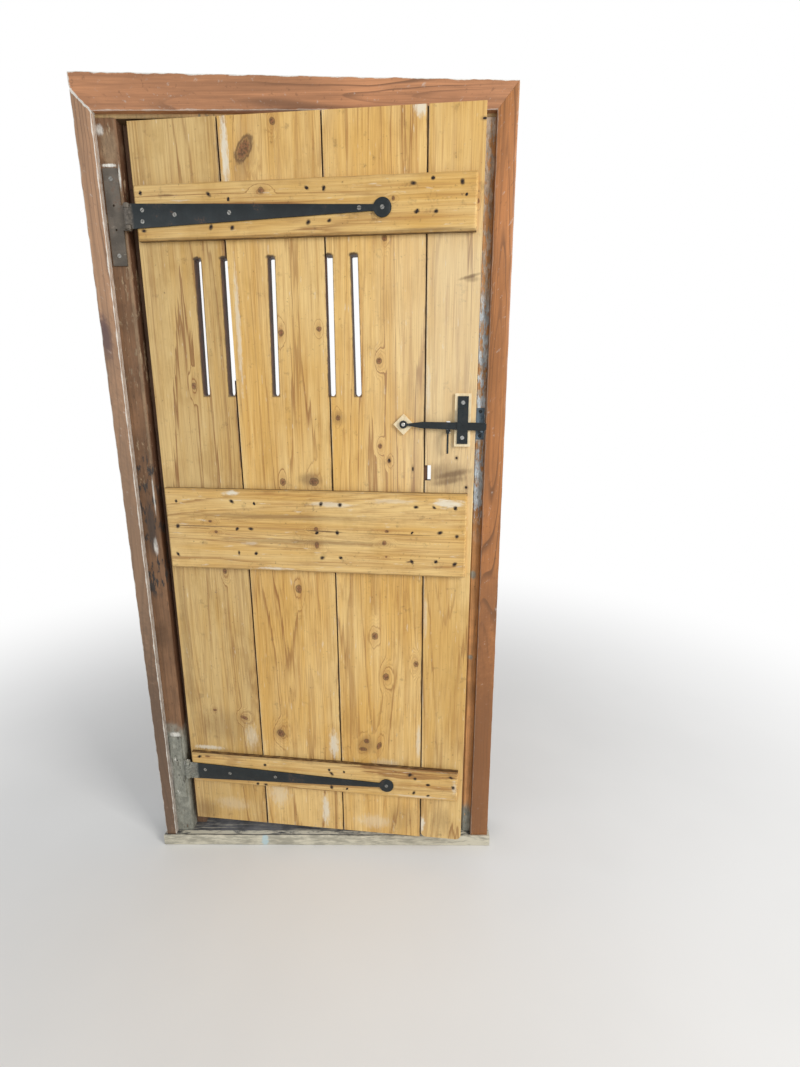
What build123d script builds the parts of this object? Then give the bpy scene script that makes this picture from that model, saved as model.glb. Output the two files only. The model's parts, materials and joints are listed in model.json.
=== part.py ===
"""Ledged plank door, hung ajar in its own timber frame, with tee hinges and a thumb latch.

Millimetres, +Z up. The origin is the middle of the sill's underside, in line with the front
faces of the jambs. +X runs from the hinge side to the latch side, and +Y goes through the
opening, away from the side that the hinges, ledges and latch bar are on.

The leaf is drawn closed and square, on its own plane: s runs across it from the hinge edge,
t runs up it from its bottom edge, and depth is measured out from the face of the planks.
Then hang() lets it sag on its hinges and turns it to where it stands ajar.
"""
import os
from math import cos, radians, sin, tan

from build123d import *

# Leaf
leaf_width = 819.0
leaf_height = 1885.0
plank_thickness = 25.0
plank_arris = 1.2
joint_gap = 3.0
tongue_thickness = 8.0
tongue_length = 6.0
tongue_fit = 0.4
worn_corner_radius = 16.0

# Joints between the planks, as shares of the leaf's width at its foot and at its head
foot_shares = (0.2778, 0.5690, 0.8535)
head_shares = (0.2619, 0.5568, 0.8462)

# Gaps round the leaf, and how it hangs
gap_hinge_side = 17.5
gap_latch_side = 8.5
gap_head = 4.0
gap_sill = 46.0
leaf_recess = 6.0
sag_angle = 0.2
ajar_angle = 6.1

# Frame
jamb_width = 75.0
jamb_depth = 95.0
jamb_arris = 3.0
head_depth = 70.0
sill_thickness = 34.0
sill_nose = 24.0
sill_nose_bevel = 5.0
sill_horn = 8.0
stop_gap = 1.0
stop_left_width = 30.0
stop_right_width = 20.0
stop_head_width = 19.0

# Architraves
architrave_thickness = 16.0
architrave_arris = 2.0
reveal_left = 46.0
reveal_right = 24.0
reveal_head = 7.0
architrave_left_top = 43.0
architrave_left_foot = 31.0
architrave_right_top = 48.0
architrave_right_foot = 53.0
architrave_head_left = 77.0
architrave_head_right = 58.0
architrave_joint = 0.4

# Ledges
ledge_thickness = 16.0
ledge_bevel = 4.0
ledge_start = 8.0
ledge_end = 14.0
ledge_top_below_head = 135.0
ledge_top_height = 119.0
ledge_middle_at = 822.0
ledge_middle_height = 219.0
ledge_bottom_at = 143.0
ledge_bottom_height = 97.0

# Cut nails, a pair of columns at each joint between planks, in rows about a pitch apart
nail_width = 4.5
nail_depth = 3.2
nail_fit = 0.05
nail_sunk = 1.2
nail_short_of_back = 3.0
nail_before_joint = 24.0
nail_after_joint = 20.0
nail_from_end = 20.0
nail_row_inset = 20.0
nail_row_pitch = 80.0
nail_wander = 2.5

# Slots through the planks: their middles as shares of the leaf's width, and their leans
slot_shares = (0.1746, 0.2558, 0.3968, 0.5690, 0.6447)
slot_lean_angles = (0.7, 0.5, 0.8, 0.1, -0.9)
slot_width = 17.0
slot_height = 318.0
slot_below_ledge = 38.0
slot_top_radius = 3.0

# Notch in the edge of the fourth plank
notch_width = 15.0
notch_height = 38.0
notch_below_pivot = 137.5

# Tee hinges
upper_hinge_below_head = 202.0
lower_hinge_at = 182.5
iron_thickness = 4.0
iron_lap = 2.0
pin_diameter = 8.9
pin_inset = 9.0
pin_stand = 9.5
pin_head_diameter = 12.0
pin_head_height = 2.2
pin_head_round = 1.3
knuckle_diameter = 17.0
knuckle_clear = 1.0
knuckle_fit = 0.05
knuckle_gap = 0.5
strap_knuckle_height = 36.0
hinge_height = 54.0
strap_reach = 606.0
strap_tip_height = 12.0
penny_diameter = 41.0
plate_width = 34.0
plate_height = 208.0
plate_from_pin = 16.0
empty_hole_diameter = 5.0
plate_screw_inset = 22.0
plate_hole_inset = 78.0

# Screws of the straps, as shares of the strap's reach and offsets from its middle line
upper_strap_screws = ((0.066, 12.0), (0.063, -12.0), (0.196, 0.0), (0.414, 0.0), (0.914, 0.0), (1.0, 0.0))
lower_strap_screws = ((0.094, 6.0), (0.221, 0.0), (0.452, 0.0), (1.0, 0.0))

# Slotted countersunk screws
screw_head = 9.6
screw_shank = 4.6
screw_cone = 2.6
screw_slot_width = 1.2
screw_slot_depth = 1.0
screw_slot_angle = 35.0
screw_fit = 0.08
hinge_screw_length = 32.0
latch_screw_length = 22.0

# Latch: pivot, pads and guard, set out from the latch edge and from the pivot's height
pivot_up = 1208.5
pivot_from_edge = 175.5
pad_thickness = 6.5
pad_corner_radius = 1.5
diamond_side = 36.0
guard_from_edge = 31.5
guard_drop = 45.5
guard_width = 26.0
guard_height = 113.0
guard_iron = 2.5
guard_side_clear = 1.1
guard_foot_clear = 0.5
guard_head_clear = 1.0
guard_screw_inset = 15.0
guard_pad_width = 39.0
guard_pad_margin = 6.5

# Latch bar
bar_thickness = 5.0
bar_fit = 0.4
bar_ring_diameter = 19.0
bar_neck_at = 10.0
bar_neck_height = 5.2
bar_neck_lap = 4.0
bar_shoulder_at = 45.0
bar_shoulder_height = 15.6
bar_tip_height = 19.6
bar_tip_radius = 5.0
bar_past_hook = 1.0
bar_droop_angle = 1.2
bar_lift_angle = 10.0
pivot_screw_diameter = 5.0
pivot_screw_head = 9.5
pivot_screw_dome = 2.6
pivot_screw_round = 2.1
pivot_slot_angle = 60.0

# Catch, let into the face of the latch jamb
catch_width = 21.0
catch_height = 80.0
catch_iron = 2.5
catch_from_reveal = 1.5
catch_below_bar = 26.0
catch_screw_inset = 9.0
hook_thickness = 5.0
hook_from_reveal = 11.0
hook_reach = 24.0
hook_clear = 1.2
hook_rise = 12.0
hook_root = 11.0
hook_lap = 1.0
hook_nose = 3.0
hook_tip_fall = 2.0
hook_tip_height = 3.0

# Thumb lever, through the leaf under the bar
lever_from_edge = 66.5
lever_width = 8.0
lever_depth = 8.0
lever_below_bar = 0.5
lever_pivot_out = 33.0
lever_front = 17.0
lever_heel = 12.0
lever_heel_rise = 3.0
lever_slot_clear = 2.0
lever_side_fit = 1.0
lever_turn_angle = 22.0
tail_length = 58.0
tail_depth = 4.0
tail_width = 4.8
tail_bow = 3.0
tail_hook = 5.0
thumb_pad_width = 26.0
thumb_pad_length = 36.0
thumb_pad_thickness = 3.0
thumb_pad_out = 46.0
thumb_pad_round = 10.0
thumb_neck_lap = 6.0
lever_pin_diameter = 5.0
lever_pin_proud = 1.0

# Handle on the far side of the leaf
handle_plate = 3.0
handle_width = 34.0
handle_height = 196.0
handle_drop = 176.5
grip_diameter = 12.0
grip_inset = 20.0
grip_length = 106.0
grip_stand = 42.0
ear_thickness = 2.5
ear_radius = 6.0
handle_screw_length = 18.0
handle_screw_inset = 7.0
handle_screw_spread = 11.0
handle_screw_rise = 2.0

# Spare length of cutters past the faces that they cut
cutter_spare = 1.0

# Places that follow from the sizes above
opening_width = gap_hinge_side + leaf_width + gap_latch_side
reveal_x = opening_width / 2
frame_half = reveal_x + jamb_width
leaf_left = -reveal_x + gap_hinge_side
leaf_bottom = sill_thickness + gap_sill
head_underside = leaf_bottom + leaf_height + gap_head
inner_left = -reveal_x - reveal_left
inner_right = reveal_x + reveal_right
inner_head = head_underside + reveal_head
stop_front = leaf_recess + plank_thickness + stop_gap
plank_count = len(foot_shares) + 1
ledge_top_at = leaf_height - ledge_top_below_head - ledge_top_height
slot_foot = ledge_top_at - slot_below_ledge - slot_height
notch_at = pivot_up - notch_below_pivot
upper_hinge_at = leaf_height - upper_hinge_below_head
pin_x = -reveal_x + pin_inset
pin_y = -pin_stand
strap_root = knuckle_diameter / 2 + knuckle_clear
strap_face = ledge_thickness + iron_thickness
pivot_across = leaf_width - pivot_from_edge
guard_across = leaf_width - guard_from_edge
guard_foot = pivot_up - guard_drop
guard_face = pad_thickness + guard_iron
lever_across = leaf_width - lever_from_edge
bar_back = pad_thickness + bar_fit
bar_front = bar_back + bar_thickness
hook_across = leaf_width + gap_latch_side + hook_from_reveal
bar_length = hook_across + hook_thickness + bar_past_hook - pivot_across
bar_reach = guard_across + guard_width / 2 - pivot_across
handle_foot = pivot_up - handle_drop
handle_face = plank_thickness + handle_plate
grip_foot = handle_foot + grip_inset
grip_head = grip_foot + grip_length


def bar_half_height(reach):
    """Half the bar's height at a distance from its pivot, past the shoulder."""
    share = (reach - bar_shoulder_at) / (bar_length - bar_shoulder_at)
    return (bar_shoulder_height + share * (bar_tip_height - bar_shoulder_height)) / 2


def bar_underside(reach):
    """Height up the leaf of the resting bar's lower edge at a distance from its pivot."""
    droop = radians(bar_droop_angle)
    return pivot_up - reach * tan(droop) - bar_half_height(reach) / cos(droop)


def bar_top_lifted(reach):
    """Height up the leaf of the lifted bar's upper edge at a distance from its pivot."""
    turn = radians(bar_lift_angle - bar_droop_angle)
    return pivot_up + reach * tan(turn) + bar_half_height(reach) / cos(turn)


guard_opening_foot = bar_underside(bar_reach) - guard_foot_clear
guard_opening_head = bar_top_lifted(bar_reach) + guard_head_clear
lever_top = bar_underside(lever_across - pivot_across) - lever_below_bar
lever_pivot_up = lever_top - lever_depth / 2
leaf_plane = Plane(origin=(leaf_left, leaf_recess, leaf_bottom), x_dir=(1, 0, 0), z_dir=(0, -1, 0))
wall_plane = Plane(origin=(0, 0, 0), x_dir=(1, 0, 0), z_dir=(0, -1, 0))
hang_point = Location((pin_x, pin_y, leaf_bottom + leaf_height / 2))
swing_place = hang_point * Location((0, 0, 0), (0, 0, -ajar_angle)) * hang_point.inverse()
sag_place = hang_point * Location((0, 0, 0), (0, sag_angle, 0)) * hang_point.inverse()


def save(name, shape):
    """Write one node's solids as its STEP file."""
    export_step(shape, f"parts/{name}.step")


def swing(shape):
    """Turn about the hinge pins from closed to ajar."""
    return swing_place * shape


def hang(shape):
    """Let a piece of the leaf sag in the leaf's own plane, then turn it ajar."""
    return swing_place * sag_place * shape


def outline(points, plane=wall_plane):
    """A face with straight edges through points on a plane."""
    return plane * make_face(Polyline(*points, close=True))


def span(left, right, height, middle=0.0):
    """Rectangle from left to right, its middle line at a height."""
    return Pos((left + right) / 2, middle) * Rectangle(right - left, height)


def on_leaf(sketch, depth, thickness):
    """Solid of a sketch drawn in (s, t), its back a depth out from the planks' face."""
    raised = leaf_plane.offset(depth)
    return extrude(raised * sketch, thickness)


def through_planks(sketch):
    """Cutter of a sketch drawn in (s, t), right through the planks."""
    return on_leaf(sketch, -plank_thickness - cutter_spare, plank_thickness + 2 * cutter_spare)


def side_of_leaf(across, up):
    """Plane through the leaf's thickness: x out from the planks' face, y up from a height."""
    return Plane(leaf_plane.from_local_coords((across, up, 0)), x_dir=(0, -1, 0), z_dir=(-1, 0, 0))


def group(shapes):
    """Separate solids that share one node."""
    return Compound(children=list(shapes))


def meets(cutter, board):
    """Whether the boxes round a cutter and a board overlap."""
    a = cutter.bounding_box()
    b = board.bounding_box()
    across = a.min.X < b.max.X and a.max.X > b.min.X
    through = a.min.Y < b.max.Y and a.max.Y > b.min.Y
    up = a.min.Z < b.max.Z and a.max.Z > b.min.Z
    return across and through and up


def cut_by_all(board, cutters):
    """Take away every cutter that reaches a board."""
    for cutter in cutters:
        if meets(cutter, board):
            board -= cutter
    return board


# Screws and nails

def screw(length, fit=0.0):
    """Slotted countersunk screw, its head level with z = 0 and its point down."""
    half_head = screw_head / 2 + fit
    half_shank = screw_shank / 2 + fit
    profile = Polyline(
        (0, 0), (half_head, 0), (half_shank, -screw_cone - fit), (half_shank, -length + half_shank),
        (0, -length - fit), close=True)
    body = revolve(Plane.XZ * make_face(profile), Axis.Z)
    if fit > 0:
        return body
    slot = Pos(0, 0, -screw_slot_depth / 2) * Box(2 * screw_head, screw_slot_width, screw_slot_depth)
    return body - Rot(0, 0, screw_slot_angle) * slot


def leaf_screw(across, up, depth, length, fit=0.0, turn=0.0):
    """Screw driven into the leaf, its head level with a depth out from the planks."""
    place = Plane(leaf_plane.from_local_coords((across, up, depth)), x_dir=(1, 0, 0), z_dir=(0, -1, 0))
    return place.location * Rot(0, 0, turn) * screw(length, fit)


def back_screw(across, up, depth, length, fit=0.0):
    """Screw driven into the far side of the leaf."""
    place = Plane(leaf_plane.from_local_coords((across, up, -depth)), x_dir=(1, 0, 0), z_dir=(0, 1, 0))
    return place.location * screw(length, fit)


def jamb_screw(x, z, stand, length, fit=0.0):
    """Screw driven into the front of a jamb, its head level with a plate."""
    place = Plane(origin=(x, -stand, z), x_dir=(1, 0, 0), z_dir=(0, -1, 0))
    return place.location * screw(length, fit)


def joint_at(index, up):
    """Where the middle of a joint between planks is, at a height up the leaf."""
    share = up / leaf_height
    return leaf_width * (foot_shares[index] + share * (head_shares[index] - foot_shares[index]))


def nail_places(foot, height):
    """Nail positions on a ledge: beside each joint and near each end, in rows a little astray."""
    gaps = max(1, round((height - 2 * nail_row_inset) / nail_row_pitch))
    step = (height - 2 * nail_row_inset) / gaps
    places = []
    for row in range(gaps + 1):
        up = foot + nail_row_inset + row * step
        columns = [ledge_start + nail_from_end, leaf_width - ledge_end - nail_from_end]
        for index in range(plank_count - 1):
            columns.append(joint_at(index, up) - nail_before_joint)
            columns.append(joint_at(index, up) + nail_after_joint)
        for across in columns:
            astray = len(places)
            places.append((across + nail_wander * sin(2 * astray), up + nail_wander * cos(3 * astray)))
    return places


def nail(across, up, fit=0.0):
    """Cut nail through a ledge into the planks, its head sunk below the face of the ledge."""
    section = Pos(across, up) * Rectangle(nail_width + 2 * fit, nail_depth + 2 * fit)
    end = -plank_thickness + nail_short_of_back - fit
    head = ledge_thickness if fit > 0 else ledge_thickness - nail_sunk
    return on_leaf(section, end, head - end)


# Tee hinges

def pin_across(level):
    """Where the pin's axis crosses the sagging leaf, at a height up it."""
    return pin_x - leaf_left - (level - leaf_height / 2) * tan(radians(sag_angle))


def strap_half_height(reach):
    """Half the strap's height at a distance from the pin."""
    share = (reach - strap_root) / (strap_reach - strap_root)
    return (hinge_height + share * (strap_tip_height - hinge_height)) / 2


def strap_screw(level, share, rise, fit=0.0, turn=0.0):
    """Screw through a hinge's strap, at a share of its reach."""
    across = pin_across(level) + share * strap_reach
    return leaf_screw(across, level + rise, strap_face, hinge_screw_length, fit, turn)


def hinge_strap(level, screws):
    """Tapered strap with a round end, rolled round the pin at its root."""
    lap_at = strap_root - 2 * iron_lap
    half = strap_knuckle_height / 2
    root_half = strap_half_height(strap_root)
    tip_half = strap_half_height(strap_reach)
    taper = make_face(Polyline(
        (lap_at, -half), (strap_root, -half), (strap_root, -root_half), (strap_reach, -tip_half),
        (strap_reach, tip_half), (strap_root, root_half), (strap_root, half), (lap_at, half), close=True))
    blade = taper + Pos(strap_reach, 0) * Circle(penny_diameter / 2)
    blade = on_leaf(Pos(pin_across(level), level) * blade, ledge_thickness, iron_thickness)
    for share, rise in screws:
        blade -= strap_screw(level, share, rise, screw_fit)
    middle = Pos(pin_x, pin_y, leaf_bottom + level)
    knuckle = middle * Cylinder(knuckle_diameter / 2, strap_knuckle_height)
    bore = middle * Cylinder(pin_diameter / 2 + knuckle_fit, hinge_height)
    return hang(blade) + swing(knuckle) - swing(bore)


def plate_middle_x():
    """Middle of a jamb plate across the frame."""
    return pin_x - plate_from_pin - plate_width / 2


def plate_screw_places(level):
    """Screws near the two ends of a jamb plate."""
    middle = leaf_bottom + level
    offset = plate_height / 2 - plate_screw_inset
    return ((plate_middle_x(), middle - offset), (plate_middle_x(), middle + offset))


def hinge_plate(level):
    """Plate on the jamb, with a tab that carries a knuckle above and below the strap's."""
    middle = leaf_bottom + level
    end_height = (hinge_height - strap_knuckle_height) / 2 - knuckle_gap
    end_middle = (hinge_height - end_height) / 2
    face = span(-plate_from_pin - plate_width, -plate_from_pin, plate_height)
    face += span(-plate_from_pin - iron_lap, -strap_root, hinge_height)
    for side in (-1, 1):
        face += span(-strap_root - iron_lap, -pin_diameter / 2, end_height, side * end_middle)
    body = extrude(wall_plane * Pos(pin_x, middle) * face, iron_thickness)
    for side in (-1, 1):
        place = Pos(pin_x, pin_y, middle + side * end_middle)
        body += place * Cylinder(knuckle_diameter / 2, end_height)
        body -= place * Cylinder(pin_diameter / 2 + knuckle_fit, end_height + cutter_spare)
    for x, z in plate_screw_places(level):
        body -= jamb_screw(x, z, iron_thickness, hinge_screw_length, screw_fit)
    for side in (-1, 1):
        hole = Rot(90, 0, 0) * Cylinder(empty_hole_diameter / 2, 3 * iron_thickness)
        body -= Pos(plate_middle_x(), 0, middle + side * (plate_height / 2 - plate_hole_inset)) * hole
    return body


def hinge_pin(level):
    """Pin through the knuckles, burred over at both ends."""
    height = hinge_height + 2 * knuckle_gap
    pin = Cylinder(pin_diameter / 2, height)
    for side in (-1, 1):
        middle = side * (height + pin_head_height) / 2
        head = Pos(0, 0, middle) * Cylinder(pin_head_diameter / 2, pin_head_height)
        rims = head.edges().filter_by(GeomType.CIRCLE).sort_by(Axis.Z)
        pin += fillet(rims[0] if side < 0 else rims[-1], pin_head_round)
    return Pos(pin_x, pin_y, leaf_bottom + level) * pin


# Frame

def upright(side):
    """One jamb, standing on the sill, with its two front arrises eased."""
    height = head_underside - sill_thickness
    place = Pos(side * (reveal_x + jamb_width / 2), jamb_depth / 2, sill_thickness + height / 2)
    block = place * Box(jamb_width, jamb_depth, height)
    arrises = block.edges().filter_by(Axis.Z).group_by(Axis.Y)[0]
    return chamfer(arrises, jamb_arris)


def frame_head_piece():
    """Head of the frame, lying on both jambs."""
    place = Pos(0, jamb_depth / 2, head_underside + head_depth / 2)
    block = place * Box(2 * frame_half, jamb_depth, head_depth)
    arris = block.edges().filter_by(Axis.X).group_by(Axis.Y)[0].sort_by(Axis.Z)[0]
    return chamfer(arris, jamb_arris)


def frame_sill():
    """Sill whose nose stands out in front of the jambs and carries the architraves' feet."""
    section = Polyline(
        (-sill_nose, 0), (jamb_depth, 0), (jamb_depth, sill_thickness),
        (-sill_nose + sill_nose_bevel, sill_thickness),
        (-sill_nose, sill_thickness - sill_nose_bevel), close=True)
    start = Plane(origin=(-frame_half - sill_horn, 0, 0), x_dir=(0, 1, 0), z_dir=(1, 0, 0))
    return extrude(start * make_face(section), 2 * (frame_half + sill_horn))


def side_stop(side, width):
    """Stop planted on a jamb, behind the closed leaf."""
    height = head_underside - sill_thickness
    depth = jamb_depth - stop_front
    place = Pos(side * (reveal_x - width / 2), stop_front + depth / 2, sill_thickness + height / 2)
    return place * Box(width, depth, height)


def head_stop():
    """Stop planted under the frame head, between the two side stops."""
    left = -reveal_x + stop_left_width
    right = reveal_x - stop_right_width
    depth = jamb_depth - stop_front
    place = Pos((left + right) / 2, stop_front + depth / 2, head_underside - stop_head_width / 2)
    return place * Box(right - left, depth, stop_head_width)


def architraves():
    """Three boards planted on the frame, mitred at the corners and tapered to the room."""
    gap = architrave_joint
    outer_left = inner_left - architrave_left_top
    outer_right = inner_right + architrave_right_top
    left_head = inner_head + architrave_left_top
    right_head = inner_head + architrave_head_right
    left = ((inner_left, inner_head - gap), (outer_left, left_head - gap),
            (inner_left - architrave_left_foot, sill_thickness), (inner_left, sill_thickness))
    top_left = inner_head + architrave_head_left
    head = ((inner_left, inner_head), (outer_left, left_head), (outer_left, top_left),
            (outer_right, right_head), (inner_right, inner_head))
    right = ((inner_right, inner_head - gap), (outer_right, right_head - gap),
             (inner_right + architrave_right_foot, sill_thickness), (inner_right, sill_thickness))
    boards = []
    for points in (left, head, right):
        board = extrude(outline(points), architrave_thickness)
        front = board.faces().sort_by(Axis.Y)[0]
        boards.append(chamfer(front.edges(), architrave_arris))
    return boards


# Catch on the latch jamb

def catch_bar_level():
    """Height of the closed bar's underside where it crosses the catch's hook."""
    across = hook_across + hook_thickness / 2
    fall = (across + gap_hinge_side - pin_inset) * tan(radians(sag_angle))
    return leaf_bottom + bar_underside(across - pivot_across) - fall


def catch_hook_section():
    """Hook from the side, in (y, z): a floor under the bar, then a nose that it rides over."""
    floor = catch_bar_level() - hook_clear
    room = bar_front - leaf_recess + hook_clear
    return Polyline(
        (hook_lap, floor - hook_root), (hook_lap, floor), (-room, floor), (-room, floor + hook_rise),
        (-room - hook_nose, floor + hook_rise), (-hook_reach, floor - hook_tip_fall),
        (-hook_reach, floor - hook_tip_fall - hook_tip_height), close=True)


def catch_plate_blank(fit=0.0):
    """Plate of the catch, let into the jamb so that its face is level with the jamb's."""
    middle_x = reveal_x + catch_from_reveal + catch_width / 2
    middle_z = catch_bar_level() - catch_below_bar + catch_height / 2
    place = Pos(middle_x, catch_iron / 2, middle_z)
    return place * Box(catch_width + 2 * fit, catch_iron, catch_height + 2 * fit)


def catch_screw_places():
    """Screws near the two ends of the catch's plate."""
    x = reveal_x + catch_from_reveal + catch_width / 2
    foot = catch_bar_level() - catch_below_bar
    return ((x, foot + catch_screw_inset), (x, foot + catch_height - catch_screw_inset))


def latch_catch():
    """Plate and hook, forged in one piece."""
    side = Plane(origin=(reveal_x + hook_from_reveal, 0, 0), x_dir=(0, 1, 0), z_dir=(1, 0, 0))
    body = catch_plate_blank() + extrude(side * make_face(catch_hook_section()), hook_thickness)
    for x, z in catch_screw_places():
        body -= jamb_screw(x, z, 0, latch_screw_length, screw_fit)
    return body


# Planks and ledges

def slot_cutter(share, lean):
    """Slot with a round foot and a torn, squarer head, right through the planks."""
    half = slot_width / 2
    shape = Pos(0, half) * Circle(half)
    shape += Pos(0, (slot_height + half) / 2) * Rectangle(slot_width, slot_height - half)
    shape = fillet(shape.vertices().group_by(Axis.Y)[-1], slot_top_radius)
    middle = Pos(share * leaf_width, slot_foot + slot_height / 2)
    return through_planks(middle * Rot(0, 0, -lean) * Pos(0, -slot_height / 2) * shape)


def lever_slot_sketch():
    """Upright slot that the thumb lever passes and turns in, in (s, t)."""
    rise = lever_pivot_out * tan(radians(lever_turn_angle)) + lever_depth / 2
    height = lever_depth + rise + 2 * lever_slot_clear
    middle = lever_top - lever_depth - lever_slot_clear + height / 2
    return Pos(lever_across, middle) * Rectangle(lever_width + 2 * lever_side_fit, height)


def edge_strip(index, start, end):
    """Face along the joint after a plank, between two distances past the joint's middle."""
    foot = joint_at(index, 0)
    head = joint_at(index, leaf_height)
    return make_face(Polyline(
        (foot + start, 0), (foot + end, 0), (head + end, leaf_height), (head + start, leaf_height),
        close=True))


def plank(index, cutters):
    """One plank, tapered to the joints on each side of it, with every cut and hole in it."""
    half = joint_gap / 2
    last = index == plank_count - 1
    left_foot = 0 if index == 0 else joint_at(index - 1, 0) + half
    left_head = 0 if index == 0 else joint_at(index - 1, leaf_height) + half
    right_foot = leaf_width if last else joint_at(index, 0) - half
    right_head = leaf_width if last else joint_at(index, leaf_height) - half
    face = make_face(Polyline(
        (left_foot, 0), (right_foot, 0), (right_head, leaf_height), (left_head, leaf_height), close=True))
    if last:
        face = fillet(face.vertices().group_by(Axis.Y)[0], worn_corner_radius)
    board = on_leaf(face, -plank_thickness, plank_thickness)
    front = board.faces().sort_by(Axis.Y)[0]
    board = chamfer(front.edges().sort_by(SortBy.LENGTH)[-2:], plank_arris)
    middle = -plank_thickness / 2
    if not last:
        tongue = edge_strip(index, -half - cutter_spare, half + tongue_length)
        board += on_leaf(tongue, middle - tongue_thickness / 2, tongue_thickness)
    if index > 0:
        room = tongue_thickness + 2 * tongue_fit
        groove = edge_strip(index - 1, 0, half + tongue_length + tongue_fit)
        board -= on_leaf(groove, middle - room / 2, room)
    return cut_by_all(board, cutters)


def notch_cutter():
    """Notch in the last plank, open at the joint beside it."""
    start = joint_at(plank_count - 2, notch_at) + joint_gap / 2
    shape = span(start - cutter_spare, start + notch_width, notch_height, notch_at + notch_height / 2)
    return through_planks(shape)


def ledge(foot, height, cutters):
    """Ledge across the planks, its front edges bevelled, with its holes."""
    shape = span(ledge_start, leaf_width - ledge_end, height, foot + height / 2)
    board = on_leaf(shape, 0, ledge_thickness)
    front = board.faces().sort_by(Axis.Y)[0]
    return cut_by_all(chamfer(front.edges(), ledge_bevel), cutters)


# Latch on the leaf

def latch_bar():
    """Bar with a ring at its pivot, widening to a blunt tip, drooping on to the guard."""
    neck = bar_neck_height / 2
    shoulder = bar_shoulder_height / 2
    tip = bar_tip_height / 2
    lap_at = bar_neck_at - bar_neck_lap
    blade = make_face(Polyline(
        (lap_at, -neck), (bar_neck_at, -neck), (bar_shoulder_at, -shoulder), (bar_length, -tip),
        (bar_length, tip), (bar_shoulder_at, shoulder), (bar_neck_at, neck), (lap_at, neck), close=True))
    blade = fillet(blade.vertices().group_by(Axis.X)[-1], bar_tip_radius)
    shape = blade + Circle(bar_ring_diameter / 2)
    shape -= Circle(pivot_screw_diameter / 2 + screw_fit)
    return on_leaf(Pos(pivot_across, pivot_up) * Rot(0, 0, -bar_droop_angle) * shape, bar_back, bar_thickness)


def pivot_screw(fit=0.0):
    """Round-headed screw that the bar turns on."""
    seat = bar_front + bar_fit
    length = seat + plank_thickness - nail_short_of_back
    shank = Pos(0, 0, -length / 2) * Cylinder(pivot_screw_diameter / 2 + fit, length)
    place = Plane(leaf_plane.from_local_coords((pivot_across, pivot_up, seat)),
                  x_dir=(1, 0, 0), z_dir=(0, -1, 0)).location
    if fit > 0:
        return place * shank
    dome = Pos(0, 0, pivot_screw_dome / 2) * Cylinder(pivot_screw_head / 2, pivot_screw_dome)
    dome = fillet(dome.edges().filter_by(GeomType.CIRCLE).sort_by(Axis.Z)[-1], pivot_screw_round)
    slot = Pos(0, 0, pivot_screw_dome) * Box(2 * pivot_screw_head, screw_slot_width, 2 * screw_slot_depth)
    return place * (dome + shank - Rot(0, 0, pivot_slot_angle) * slot)


def diamond_pad():
    """Square pad, set on its corner, that packs the bar's pivot off the planks."""
    shape = Rot(0, 0, 45) * RectangleRounded(diamond_side, diamond_side, pad_corner_radius)
    return on_leaf(Pos(pivot_across, pivot_up) * shape, 0, pad_thickness) - pivot_screw(screw_fit)


def guard_screws(fit=0.0):
    """The guard's two screws, near the ends of its tabs."""
    heights = (guard_foot + guard_screw_inset, guard_foot + guard_height - guard_screw_inset)
    return [leaf_screw(guard_across, up, guard_face, latch_screw_length, fit) for up in heights]


def latch_guard():
    """Staple bent from one strip: two tabs, two returns and the bridge over the bar."""
    iron = guard_iron
    foot = guard_opening_foot
    head = guard_opening_head
    end = guard_foot + guard_height
    back = pad_thickness
    under = bar_front + guard_side_clear
    points = (
        (guard_foot, back), (guard_foot, back + iron), (foot - iron, back + iron),
        (foot - iron, under + iron), (head + iron, under + iron), (head + iron, back + iron),
        (end, back + iron), (end, back), (head, back), (head, under), (foot, under), (foot, back))
    side = Plane(leaf_plane.from_local_coords((guard_across - guard_width / 2, 0, 0)),
                 x_dir=(0, 0, 1), z_dir=(1, 0, 0))
    strip = extrude(outline(points, side), guard_width)
    return cut_by_all(strip, guard_screws(screw_fit))


def guard_pad():
    """Upright pad that packs the guard off the planks."""
    shape = RectangleRounded(guard_pad_width, guard_height + 2 * guard_pad_margin, pad_corner_radius)
    pad = on_leaf(Pos(guard_across, guard_foot + guard_height / 2) * shape, 0, pad_thickness)
    return cut_by_all(pad, guard_screws(screw_fit))


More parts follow.
